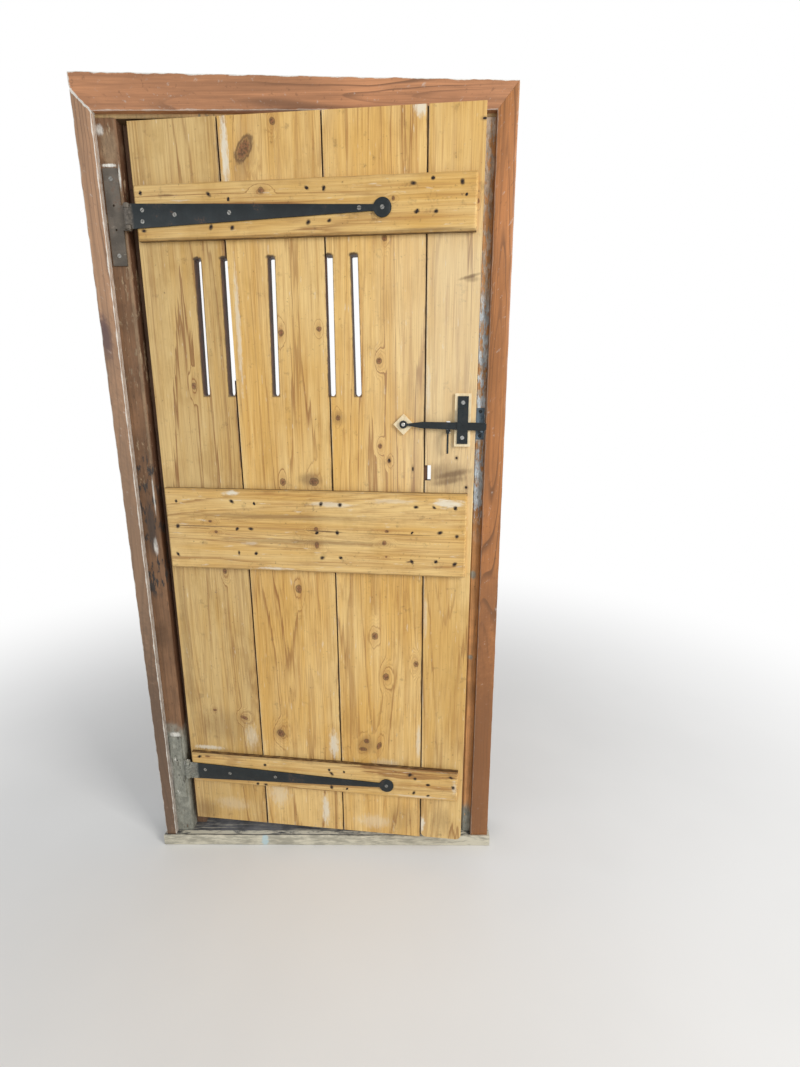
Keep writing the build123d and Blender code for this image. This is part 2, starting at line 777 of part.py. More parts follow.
def thumb_lever():
    """Lever through the leaf: thumb pad outside, arm under the bar, and a thin curled tail."""
    half = lever_depth / 2
    pivot = -lever_pivot_out
    heel = pivot - lever_heel
    plane = side_of_leaf(lever_across + lever_width / 2, lever_pivot_up)
    arm = make_face(Polyline(
        (heel, -half + lever_heel_rise), (pivot, -half), (lever_front, -half), (lever_front, half),
        (heel, half), close=True))
    body = extrude(plane * arm, lever_width)
    mid = half - tail_length / 2
    end = half - tail_length
    outer = ThreePointArc((lever_front, half), (lever_front + tail_bow, mid), (lever_front - tail_hook, end))
    inner = ThreePointArc(
        (lever_front - tail_hook - tail_depth / 2, end), (lever_front + tail_bow - tail_depth, mid),
        (lever_front - tail_depth, -half + cutter_spare))
    curl = make_face(outer + Line(outer @ 1, inner @ 0) + inner + Line(inner @ 1, outer @ 0))
    body += extrude(side_of_leaf(lever_across + tail_width / 2, lever_pivot_up) * curl, tail_width)
    pad_middle = -thumb_pad_out - thumb_pad_length / 2
    pad_plane = Plane(leaf_plane.from_local_coords((lever_across, lever_top, pad_middle)),
                      x_dir=(1, 0, 0), z_dir=(0, 0, 1))
    pad = RectangleRounded(thumb_pad_width, thumb_pad_length, thumb_pad_round)
    body += extrude(pad_plane * pad, -thumb_pad_thickness)
    neck_end = -thumb_pad_out - thumb_neck_lap
    neck = make_face(Polyline(
        (heel, -half + lever_heel_rise), (heel, half), (neck_end, half),
        (neck_end, half - thumb_pad_thickness), close=True))
    body += extrude(plane * neck, lever_width)
    bore = extrude(plane * Pos(pivot, 0) * Circle(lever_pin_diameter / 2 + screw_fit), lever_width)
    return body - bore


def lever_pin():
    """Pin across the two ears, through the lever."""
    length = lever_width + 2 * (lever_side_fit + ear_thickness + lever_pin_proud)
    plane = side_of_leaf(lever_across + length / 2, lever_pivot_up)
    return extrude(plane * Pos(-lever_pivot_out, 0) * Circle(lever_pin_diameter / 2), length)


# Handle on the far side

def handle_screws(fit=0.0):
    """Screws near the ends of the handle's plate and beside the top of the grip."""
    beside = (grip_head + lever_pivot_up) / 2 + handle_screw_rise
    places = ((lever_across, handle_foot + handle_screw_inset),
              (lever_across - handle_screw_spread, beside), (lever_across + handle_screw_spread, beside),
              (lever_across, handle_foot + handle_height - handle_screw_inset))
    return [back_screw(across, up, handle_face, handle_screw_length, fit) for across, up in places]


def outside_handle():
    """Plate with a bowed grip below the lever and two ears that carry the lever's pin."""
    shape = RectangleRounded(handle_width, handle_height, handle_width / 2 - cutter_spare)
    body = on_leaf(Pos(lever_across, handle_foot + handle_height / 2) * shape - lever_slot_sketch(),
                   -handle_face, handle_plate)
    plane = side_of_leaf(lever_across, 0)
    start = -plank_thickness - handle_plate / 2
    path = plane * ThreePointArc(
        (start, grip_foot), (-plank_thickness - grip_stand, (grip_foot + grip_head) / 2), (start, grip_head))
    grip = sweep(Plane(path @ 0, z_dir=path % 0) * Circle(grip_diameter / 2), path)
    outside = span(lever_across - handle_width, lever_across + handle_width, handle_height,
                   handle_foot + handle_height / 2)
    reach = 2 * grip_stand
    body += grip & on_leaf(outside, -plank_thickness - reach, reach)
    pivot = -lever_pivot_out
    ear = Pos(pivot, 0) * Circle(ear_radius) + span(pivot, -handle_face + cutter_spare, 2 * ear_radius)
    ear -= Pos(pivot, 0) * Circle(lever_pin_diameter / 2 + screw_fit)
    for side in (-1, 1):
        middle = lever_across + side * (lever_width / 2 + lever_side_fit + ear_thickness / 2)
        body += extrude(side_of_leaf(middle + ear_thickness / 2, lever_pivot_up) * ear, ear_thickness)
    return cut_by_all(body, handle_screws(screw_fit))


# Sets that the pieces below share
ledges = {
    "top": (ledge_top_at, ledge_top_height),
    "middle": (ledge_middle_at, ledge_middle_height),
    "bottom": (ledge_bottom_at, ledge_bottom_height),
}
hinges = {
    "upper": (upper_hinge_at, upper_strap_screws),
    "lower": (lower_hinge_at, lower_strap_screws),
}
leaf_cutters = [pivot_screw(screw_fit), through_planks(lever_slot_sketch())]
leaf_cutters += guard_screws(screw_fit) + handle_screws(screw_fit)
for foot, height in ledges.values():
    leaf_cutters += [nail(across, up, nail_fit) for across, up in nail_places(foot, height)]
for level, screws in hinges.values():
    leaf_cutters += [strap_screw(level, share, rise, screw_fit) for share, rise in screws]
leaf_cutters += [slot_cutter(share, lean) for share, lean in zip(slot_shares, slot_lean_angles)]

os.makedirs("parts", exist_ok=True)

# Frame
jamb_left = upright(-1)
for level, screws in hinges.values():
    for x, z in plate_screw_places(level):
        jamb_left -= jamb_screw(x, z, iron_thickness, hinge_screw_length, screw_fit)
save("jamb_left", jamb_left)
jamb_right = upright(1) - catch_plate_blank(screw_fit)
for x, z in catch_screw_places():
    jamb_right -= jamb_screw(x, z, 0, latch_screw_length, screw_fit)
save("jamb_right", jamb_right)
save("frame_head", frame_head_piece())
save("sill", frame_sill())
save("stop_left", side_stop(-1, stop_left_width))
save("stop_right", side_stop(1, stop_right_width))
save("stop_head", head_stop())
for side_name, board in zip(("left", "head", "right"), architraves()):
    save(f"architrave_{side_name}", board)
for name, (level, screws) in hinges.items():
    save(f"{name}_hinge_plate", hinge_plate(level))
    save(f"{name}_hinge_pin", hinge_pin(level))
    driven = [jamb_screw(x, z, iron_thickness, hinge_screw_length) for x, z in plate_screw_places(level)]
    save(f"{name}_plate_screws", group(driven))
save("latch_catch", latch_catch())
save("catch_screws", group(jamb_screw(x, z, 0, latch_screw_length) for x, z in catch_screw_places()))

# Leaf
for index in range(plank_count):
    board = plank(index, leaf_cutters)
    if index == plank_count - 1:
        board -= notch_cutter()
    save(f"plank_{index + 1}", hang(board))
for name, (foot, height) in ledges.items():
    save(f"ledge_{name}", hang(ledge(foot, height, leaf_cutters)))
    nails = [nail(across, up) for across, up in nail_places(foot, height)]
    save(f"ledge_{name}_nails", group(hang(shape) for shape in nails))
for name, (level, screws) in hinges.items():
    save(f"{name}_hinge_strap", hinge_strap(level, screws))
    driven = [strap_screw(level, share, rise, turn=count * screw_slot_angle)
              for count, (share, rise) in enumerate(screws)]
    save(f"{name}_strap_screws", group(hang(shape) for shape in driven))
save("pivot_pad", hang(diamond_pad()))
save("guard_pad", hang(guard_pad()))
save("latch_guard", hang(latch_guard()))
save("guard_screws", group(hang(shape) for shape in guard_screws()))
save("latch_pivot_screw", hang(pivot_screw()))
save("outside_handle", hang(outside_handle()))
save("handle_screws", group(hang(shape) for shape in handle_screws()))
save("thumb_pivot_pin", hang(lever_pin()))

# Moving pieces of the latch
save("latch_bar", hang(latch_bar()))
save("thumb_lever", hang(thumb_lever()))
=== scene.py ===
"""Looks of the ledged plank door: old pine, layered paint and blacked iron over the fixed frame.

Everything is in metres in the frame's own axes: +Z up, +X from the hinge side to the latch side,
+Y through the opening. Places on the leaf are given as (s, t, d) of the shut, unsagging leaf:
s across it from the hinge edge, t up it from its foot, and d out from the face of the planks.
Marks on the leaf, such as knots and nails, are listed as s and t in millimetres.
"""
import json
from math import cos, pi, radians, sin

import bmesh
import bpy
import numpy as np
from mathutils import Matrix, Vector

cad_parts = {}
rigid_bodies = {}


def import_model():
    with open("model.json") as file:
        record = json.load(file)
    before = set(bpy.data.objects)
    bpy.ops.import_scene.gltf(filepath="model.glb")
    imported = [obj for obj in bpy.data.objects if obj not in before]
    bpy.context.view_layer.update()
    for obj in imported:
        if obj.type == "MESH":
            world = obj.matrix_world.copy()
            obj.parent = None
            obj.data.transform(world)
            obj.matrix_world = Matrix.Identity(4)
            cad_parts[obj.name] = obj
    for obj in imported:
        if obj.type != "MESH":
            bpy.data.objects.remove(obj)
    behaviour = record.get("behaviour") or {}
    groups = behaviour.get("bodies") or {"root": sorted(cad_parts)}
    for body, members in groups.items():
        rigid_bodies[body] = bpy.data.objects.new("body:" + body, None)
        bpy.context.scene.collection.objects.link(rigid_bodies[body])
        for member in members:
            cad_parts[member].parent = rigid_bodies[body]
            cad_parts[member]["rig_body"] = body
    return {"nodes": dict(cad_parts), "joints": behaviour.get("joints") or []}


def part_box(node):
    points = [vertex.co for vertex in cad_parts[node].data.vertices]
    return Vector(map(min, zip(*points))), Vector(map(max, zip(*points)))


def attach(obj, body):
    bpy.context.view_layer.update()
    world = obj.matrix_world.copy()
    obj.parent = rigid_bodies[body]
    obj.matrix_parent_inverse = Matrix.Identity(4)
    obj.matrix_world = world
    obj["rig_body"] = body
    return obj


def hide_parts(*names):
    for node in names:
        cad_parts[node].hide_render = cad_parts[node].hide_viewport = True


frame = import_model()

bl_info = {
    "name": "Ledged plank door",
    "version": (1, 0, 0),
    "blender": (4, 5, 0),
    "location": "3D View > Sidebar > Plank door",
    "description": "Builds the worn surfaces, finishes and stage of a ledged plank door in its frame",
    "category": "Object",
}

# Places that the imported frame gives
HINGE = Vector(next(j for j in frame["joints"] if j["name"] == "door_swing")["pos_m"])
SILL_LOW, SILL_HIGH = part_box("sill")

# The leaf as it was drawn shut, and how it hangs
LEAF_ORIGIN = Vector((-0.405, 0.006, 0.080))
LEAF_WIDTH = 0.819
LEAF_HEIGHT = 1.885
JOINT_FEET = (0.2778, 0.5690, 0.8535)
JOINT_HEADS = (0.2619, 0.5568, 0.8462)
SAG = radians(0.2)
AJAR = radians(6.1)
LEAF_TURN = Matrix.Rotation(-AJAR, 3, "Z") @ Matrix.Rotation(SAG, 3, "Y")

# Ledges: foot and head up the leaf, and their ends across it
LEDGES = {"top": (1.631, 1.750), "middle": (0.822, 1.041), "bottom": (0.143, 0.240)}
LEDGE_ENDS = (0.008, 0.805)
LEDGE_DEPTH = 0.016
LEDGE_BEVEL = 0.004

# Nail heads in each ledge
NAILS = {
    "top": ((26, 1732), (191, 1724), (238, 1712), (192, 1656), (243, 1653), (26, 1652), (423, 1728),
            (462, 1726), (424, 1659), (473, 1661), (664, 1729), (707, 1737), (771, 1728), (781, 1703),
            (672, 1673), (715, 1672)),
    "middle": ((40, 1006), (193, 1009), (254, 1004), (432, 1006), (482, 1006), (677, 1005), (723, 1005),
               (776, 1004), (38, 938), (203, 935), (241, 936), (419, 930), (473, 932), (668, 938),
               (739, 940), (782, 931), (31, 860), (204, 869), (251, 869), (431, 863), (481, 865),
               (668, 861), (730, 863), (778, 858)),
    "bottom": ((431, 218), (438, 206), (475, 215), (668, 223), (683, 211), (720, 194), (785, 224),
               (792, 191), (680, 164), (721, 158), (236, 151), (211, 151), (437, 160), (483, 159),
               (34, 229), (237, 218)),
}

# Slots: middle across the leaf and slope of each, all between the same two heights
SLOTS = ((0.1430, 0.0122), (0.2095, 0.0087), (0.3250, 0.0140), (0.4660, 0.0017), (0.5280, -0.0157))
SLOT_FOOT, SLOT_HEAD = 1.275, 1.593
SLOT_HALF = 0.0085

# Levels of the straps up the leaf
STRAPS = {"upper": 1.683, "lower": 0.1825}

# How many sections the surfaces that are worked out have along them
BOARD_STEPS, LEDGE_STEPS, SILL_STEPS = 170, 180, 190

# Marks of each plank and ledge, as pine() takes them
PLANK_MARKS = {
    1: dict(
        seed=1.3, warmth=0.46, lightness=0.88, slots=(0, 1), joints=((0, 0.75, "dark"),),
        knots=((109, 1300, 6, 9), (153, 811, 6, 8), (88, 380, 6, 4), (176, 361, 12, 6, 20)),
        paint=((196, 300, 26, 52, 0.40), (60, 252, 60, 9, 0.85), (120, 60, 70, 30, 0.25)),
        stains=((30, 30, 40, 40, 0.35), (110, 330, 90, 60, 0.25), (20, 560, 14, 300, 0.3))),
    2: dict(
        seed=2.9, lightness=1.06, slots=(2, 3), joints=((0, 0.65, "pale"), (1, 0.75, "dark")),
        knots=((275, 1817, 17, 34, 32), (345, 1869, 7, 8), (343, 1424, 7, 8), (437, 1432, 7, 6),
               (329, 1060, 8, 10), (412, 1062, 13, 11), (359, 768, 9, 13), (286, 318, 13, 11, 30)),
        paint=((230, 1815, 11, 110, 0.95), (236, 1440, 8, 190, 0.6), (444, 292, 17, 58, 0.85),
               (413, 66, 15, 66, 0.85), (270, 110, 40, 60, 0.4), (240, 860, 8, 60, 0.4)),
        stains=((400, 1068, 34, 18, 0.5), (286, 318, 26, 20, 0.25), (277, 1800, 26, 48, 0.25, 20))),
    3: dict(
        seed=4.7, warmth=0.46, lightness=1.09, slots=(3, 4), joints=((1, 0.5, "pale"), (2, 0.75, "dark")),
        knots=((597, 1625, 6, 7), (583, 1358, 7, 8), (479, 1223, 6, 7), (584, 1155, 6, 6),
               (607, 1118, 5, 5), (567, 641, 9, 11), (597, 520, 9, 11), (681, 564, 7, 9),
               (541, 312, 8, 8), (529, 285, 12, 7), (577, 300, 7, 13, 25)),
        paint=((677, 1878, 18, 22, 0.9), (690, 320, 9, 70, 0.6), (696, 900, 5, 80, 0.4),
               (600, 240, 60, 24, 0.3), (560, 40, 70, 30, 0.35)),
        stains=((541, 300, 34, 34, 0.3), (479, 1223, 20, 20, 0.3), (640, 60, 50, 60, 0.25)),
        holes=((607, 1120, 3, 5), (667, 1099, 2.2, 6))),
    4: dict(
        seed=6.1, warmth=0.38, joints=((2, 0.7, "pale"),), knots=((806, 1694, 4, 5),),
        paint=((704, 46, 10, 34, 1.0), (703, 1290, 6, 80, 0.5), (704, 700, 6, 80, 0.35)),
        stains=((768, 1088, 46, 9, 0.60, -12), (758, 1070, 44, 8, 0.45, -12), (752, 1086, 60, 34, 0.45),
                (795, 1541, 28, 4, 0.6, -14), (798, 1535, 18, 7, 0.4), (760, 60, 40, 50, 0.2)),
        holes=((775, 1128, 3, 3.4), (801, 1055, 3.4, 3.6), (815, 1852, 5, 2.5))),
}
LEDGE_MARKS = {
    "top": dict(
        seed=8.3, warmth=0.55, lightness=0.97, knots=((316, 1728, 7, 7), (619, 1701, 4, 5)),
        bevels=((1.7455, 1.750, 0.35), (1.631, 1.6355, 0.92)),
        stains=((90, 1725, 20, 3, 0.5), (700, 1637, 100, 3, 0.5))),
    "middle": dict(
        seed=9.9, warmth=0.46, bevels=((1.0365, 1.041, 0.85), (0.822, 0.8265, 0.55)),
        knots=((130, 954, 5, 4), (144, 925, 5, 4), (417, 941, 6, 5), (418, 897, 6, 10),
               (603, 940, 6, 4), (596, 909, 6, 6), (601, 872, 3, 3)),
        stains=((100, 940, 100, 2.0, 0.75), (440, 935, 60, 2.2, 0.85, 2), (640, 932, 110, 1.8, 0.6),
                (320, 970, 300, 9, 0.40), (400, 905, 260, 8, 0.40), (664, 861, 12, 2.6, 0.9, -8)),
        paint=((190, 1031, 26, 9, 1.0), (458, 1006, 70, 9, 0.6), (757, 1016, 50, 13, 0.9),
               (235, 897, 26, 6, 0.4), (300, 829, 60, 5, 0.8), (620, 1018, 80, 8, 0.4))),
    "bottom": dict(
        seed=11.7, warmth=0.52, knots=((60, 232, 8, 3),),
        bevels=((0.2350, 0.2405, 1.0), (0.143, 0.1465, 0.35)),
        stains=((668, 223, 12, 5, 0.8), (786, 224, 12, 4, 0.7)),
        paint=((690, 152, 110, 5, 0.5), (795, 190, 8, 30, 0.5))),
}


def shade(red, green, blue):
    """Linear colour of an everyday 0 to 255 colour."""
    values = np.array((red, green, blue)) / 255.0
    linear = np.where(values <= 0.04045, values / 12.92, ((values + 0.055) / 1.055) ** 2.4)
    return tuple(float(v) for v in linear)


def scaled(tint, share):
    """A colour made lighter or darker."""
    return tuple(share * v for v in tint[:3])


def colour(name, value, words):
    """A colour that a user would change."""
    return bpy.props.FloatVectorProperty(
        name=name, description=words, subtype="COLOR", size=3, min=0.0, max=1.0, default=value)


def amount(name, value, words, **kind):
    """A number that a user would change."""
    return bpy.props.FloatProperty(name=name, description=words, default=value, **kind)


def length(name, value, words):
    """A length in metres that a user would change."""
    return amount(name, value, words, min=0.0, precision=5, subtype="DISTANCE", unit="LENGTH")


class PineLook(bpy.types.PropertyGroup):
    """Waxed pine of the planks, ledges and pads."""
    pale: colour("Pale wood", shade(232, 199, 134), "Early wood between the grain lines")
    honey: colour("Honey wood", shade(213, 167, 86), "Wood where the wax has yellowed it")
    line: colour("Grain line", shade(140, 90, 40), "Late wood along the grain lines")
    knot: colour("Knot", shade(104, 63, 38), "Heart of a knot")
    # Real grime, and also painted shade in the ledges' bevels and on the sides of slots, notch and joints
    # between the planks
    paint: colour("Paint remains", shade(228, 217, 194), "Old white paint left in the grain")
    dirt_and_shade: colour("Dirt", shade(74, 50, 30), "Dirt in bevels, slots and corners")
    pad: colour("Bare pad", shade(240, 220, 180), "Pale pads under the latch")
    grain: length("Grain spacing", 0.0105, "Mean distance between grain lines")
    arris: length("Worn arris", 0.0009, "Width of the worn edges of the planks")
    wear: length("Ledge wear", 0.0006, "How far the ledges' edges wander")


class FrameLook(bpy.types.PropertyGroup):
    """Timber and paint of the frame."""
    jamb: colour("Jamb timber", shade(128, 95, 68), "Old brown timber of the hinge jamb")
    bare: colour("Bare timber", shade(190, 162, 128), "Timber worn bare along the jamb")
    # Dark stain, also laid as painted shade on the jamb's inner side, the head's underside and the head stop
    reveal: colour("Reveal timber", shade(86, 56, 38), "Dark stain inside the opening")
    soot: colour("Worn dark paint", shade(66, 60, 56), "Dark worn paint at hand height")
    grey: colour("Grey paint", shade(150, 150, 138), "Worn grey paint low on the frame")
    left: colour("Left architrave", shade(180, 138, 103), "Pinkish brown stain")
    head: colour("Head architrave", shade(190, 132, 90), "Red brown varnish")
    right: colour("Right architrave", shade(178, 116, 62), "Orange brown varnish")
    head_timber: colour("Head timber", shade(205, 172, 122), "Pale edge of the frame's head")
    latch_jamb: colour("Latch jamb", shade(214, 156, 100), "Orange brown timber of the latch jamb")
    stop: colour("Stop timber", shade(156, 122, 96), "Stops planted in the frame")
    sill: colour("Sill paint", shade(206, 200, 180), "Worn cream paint of the sill's nose")
    # Dark paint, whose darkness also stands in for the shade that the leaf casts on the sill's top
    tread: colour("Tread", shade(84, 84, 86), "Dark worn paint on top of the sill")
    white: colour("White paint", shade(236, 233, 224), "Paint lines along the architraves")
    arris: length("Frame arris", 0.0026, "Mean radius of the frame's worn edges")
    wear: length("Wear", 0.0007, "How far the worn faces wander")


class IronLook(bpy.types.PropertyGroup):
    """Iron of the hinges, latch, nails and screws."""
    black: colour("Blacked iron", shade(26, 34, 36), "Satin blue black paint")
    plate: colour("Bare iron", shade(104, 96, 86), "Dull grey brown plates")
    catch: colour("Catch iron", shade(96, 112, 124), "Blue grey worn catch")
    nail: colour("Nail", shade(40, 30, 27), "Rusted cut nails")
    steel: colour("Worn steel", shade(150, 148, 142), "Rubbed screw heads")
    bright: colour("Bright steel", shade(216, 214, 208), "New screw heads")
    edge: length("Forged edge", 0.0007, "Rounding of the iron's edges")


class StageLook(bpy.types.PropertyGroup):
    """Floor, light and camera."""
    floor: colour("Floor", (0.80, 0.79, 0.77), "Plain pale floor")
    sky: amount("Ambient", 0.60, "Strength of the even light all round", min=0.0)
    key: amount("Key light", 84.0, "Power of the soft window light", min=0.0, unit="POWER")
    fill: amount("Fill light", 10.0, "Power of the light from the left", min=0.0, unit="POWER")
    camera: bpy.props.FloatVectorProperty(
        name="Camera", description="Where the camera stands", subtype="TRANSLATION", unit="LENGTH",
        size=3, default=(0.2340, -1.3830, 1.3286))
    pitch: amount("Pitch", radians(13.589), "How far the camera looks down", subtype="ANGLE")
    yaw: amount("Yaw", radians(-0.255), "How far the camera is turned to the right", subtype="ANGLE")
    focal: amount("Focal length", 524.5 / 1067.0, "In picture heights", min=0.1)


# Places on the leaf

def hung(s, t, d):
    """World points of leaf places: shut, then turned about the hinge by the sag and the ajar angle."""
    shut = np.stack(np.broadcast_arrays(LEAF_ORIGIN.x + s, LEAF_ORIGIN.y - d, LEAF_ORIGIN.z + t), -1)
    centre = np.array(HINGE)
    return (shut - centre) @ np.array(LEAF_TURN).T + centre


def joint_line(index):
    """Slope and start of a joint between planks, so that s = slope * t + start."""
    foot, head = LEAF_WIDTH * JOINT_FEET[index], LEAF_WIDTH * JOINT_HEADS[index]
    return (head - foot) / LEAF_HEIGHT, foot


# Materials

class Nodes:
    """A node tree under way: each method adds nodes and returns the output that they end in."""

    def __init__(self, owner):
        owner.use_nodes = True
        self.tree = owner.node_tree
        self.tree.nodes.clear()

    def add(self, kind, feeds=None, **settings):
        """A node itself, with its settings made and its inputs fed."""
        node = self.tree.nodes.new(kind)
        for key, value in settings.items():
            setattr(node, key, value)
        for key, value in (feeds or {}).items():
            self.feed(node.inputs[key], value)
        return node

    def feed(self, socket, value):
        """Link an output to an input, or set the input's own value."""
        if isinstance(value, bpy.types.NodeSocket):
            self.tree.links.new(value, socket)
        elif socket.type == "RGBA" and len(value) == 3:
            socket.default_value = (*value, 1.0)
        else:
            socket.default_value = value

    def sum(self, kind, a, b=0.5, c=0.5):
        return self.add("ShaderNodeMath", dict(enumerate((a, b, c))), operation=kind).outputs["Value"]

    def blend(self, kind, share, first, second):
        """End the tree in two shaders, of which the second has a share."""
        both = self.add("ShaderNodeMixShader", {0: share, 1: first.outputs[0], 2: second.outputs[0]})
        self.add(kind, {"Surface": both.outputs["Shader"]})


class Finish(Nodes):
    """A material under way.

    "tint" is the colour so far, and over() and tone() lay another one on it. "axes" are the
    places across, into and along the timber that its grain follows.
    """

    def __init__(self, name):
        self.material = bpy.data.materials.new(name)
        super().__init__(self.material)
        self.place = self.add("ShaderNodeTexCoord").outputs["Object"]
        self.tint = self.axes = None

    # Places

    def mapped(self, vector, location=(0, 0, 0), turn=(0, 0, 0), scale=(1, 1, 1), kind="POINT"):
        return self.add("ShaderNodeMapping", {
            "Vector": vector, "Location": location, "Rotation": turn, "Scale": scale},
            vector_type=kind).outputs["Vector"]

    def leaf_place(self):
        """Object coordinates turned back to (s, depth into the leaf, t)."""
        back = LEAF_TURN.transposed()
        return self.mapped(self.place, HINGE - back @ HINGE - LEAF_ORIGIN, back.to_euler("XYZ"))

    def parts(self, vector):
        return self.add("ShaderNodeSeparateXYZ", {"Vector": vector}).outputs

    def vector(self, x, y, z):
        return self.add("ShaderNodeCombineXYZ", {"X": x, "Y": y, "Z": z}).outputs["Vector"]

    def attribute(self, name):
        return self.add("ShaderNodeAttribute", attribute_name=name).outputs["Vector"]

    def reach(self, vector):
        """Distance of a place from its origin."""
        return self.add("ShaderNodeVectorMath", {0: vector}, operation="LENGTH").outputs["Value"]

    def spot(self, vector, across, up, half_across, half_up, turn=0.0):
        """Distance from a spot's middle, in the spot's own radii; millimetres and degrees."""
        return self.reach(self.mapped(vector, (across / 1000, 0, up / 1000), (0, radians(turn), 0),
                                      (half_across / 1000, 1000.0, half_up / 1000), "TEXTURE"))

    def off_line(self, s, t, slope, start):
        """Distance across the leaf from the line s = slope * t + start."""
        return self.sum("ABSOLUTE", self.sum("SUBTRACT", s, self.scaled_sum(t, slope, start)))

    # Numbers

    def times(self, a, b):
        return self.sum("MULTIPLY", a, b)

    def plus(self, a, b):
        return self.sum("ADD", a, b)

    def scaled_sum(self, a, factor, b):
        """a times a factor, plus b."""
        return self.sum("MULTIPLY_ADD", a, factor, b)

    def most(self, a, b):
        """The greater of two numbers, or the second while there is no first."""
        return b if a is None else self.sum("MAXIMUM", a, b)

    def ease(self, value, start, end, low=0.0, high=1.0):
        """Smooth step of a value from low at start to high at end."""
        return self.add("ShaderNodeMapRange", {
            "Value": value, "From Min": start, "From Max": end, "To Min": low, "To Max": high},
            interpolation_type="SMOOTHSTEP").outputs["Result"]

    def band(self, value, start, full, fall, end):
        """Rises from start to full, and falls again from there to the end."""
        return self.times(self.ease(value, start, full), self.ease(value, end, fall))

    def window(self, value, low, high, soft):
        """One between two values and zero outside them."""
        return self.band(value, low - soft, low, high, high + soft)

    def patch(self, reach, ragged, share, start, end, dose=1.0):
        """A dose up to a reach of start and nothing past end, its rim torn by a ragged noise."""
        return self.ease(self.scaled_sum(ragged, share, reach), start, end, dose, 0.0)

    # Noises, each with its detail and roughness

    def noise(self, vector, scale=1.0, detail=2.0, rough=0.55):
        return self.add("ShaderNodeTexNoise", {
            "Vector": vector, "Scale": scale, "Detail": detail, "Roughness": rough}).outputs["Fac"]

    def cloud(self, vector, scale, detail=2.0, rough=0.55, shift=(0, 0, 0)):
        """Noise with its own scale on each axis."""
        return self.noise(self.mapped(vector, shift, scale=scale), detail=detail, rough=rough)

    def grain(self, fine, slow, seed, detail=2.0, rough=0.55, across=None):
        """Noise drawn out along the grain: fine across it and slow along it, per metre."""
        given, depth, along = self.axes
        return self.noise(self.vector(self.times(across or given, fine), self.times(depth, fine),
                                      self.scaled_sum(along, slow, seed)), detail=detail, rough=rough)

    def bent(self, fine, slow, seed, detail, width):
        """The place across the grain, wavering by a width along it."""
        across, _, along = self.axes
        place = self.vector(self.times(across, fine), seed, self.times(along, slow))
        return self.scaled_sum(self.noise(place, detail=detail), width, across)

    # Colours

    def mix(self, share, a, b):
        node = self.add("ShaderNodeMix", {"Factor": share}, data_type="RGBA")
        for socket, value in zip([socket for socket in node.inputs if socket.type == "RGBA"], (a, b)):
            self.feed(socket, value)
        return next(socket for socket in node.outputs if socket.type == "RGBA")

    def mottled(self, value, start, end, tint, low, high):
        """A colour times low up to the start of a value and times high from its end."""
        return self.mix(self.ease(value, start, end), scaled(tint, low), scaled(tint, high))

    def over(self, share, tint):
        """Lay a share of another colour on the tint."""
        self.tint = self.mix(share, self.tint, tint)

    def tone(self, value, start, end, dose, tint):
        """Lay a colour on the tint, from none of it at a value's start to a dose at its end."""
        self.over(self.ease(value, start, end, 0.0, dose), tint)

    def done(self, rough, height, depth, coat=0.0, coat_rough=0.3, metal=0.0, shine=0.5):
        bump = self.add("ShaderNodeBump", {"Height": height, "Distance": depth, "Strength": 1.0})
        shader = self.add("ShaderNodeBsdfPrincipled", {
            "Base Color": self.tint, "Roughness": rough, "Metallic": metal, "Specular IOR Level": shine,
            "Coat Weight": coat, "Coat Roughness": coat_rough, "Normal": bump.outputs["Normal"]})
        self.add("ShaderNodeOutputMaterial", {"Surface": shader.outputs["BSDF"]})
        return self.material


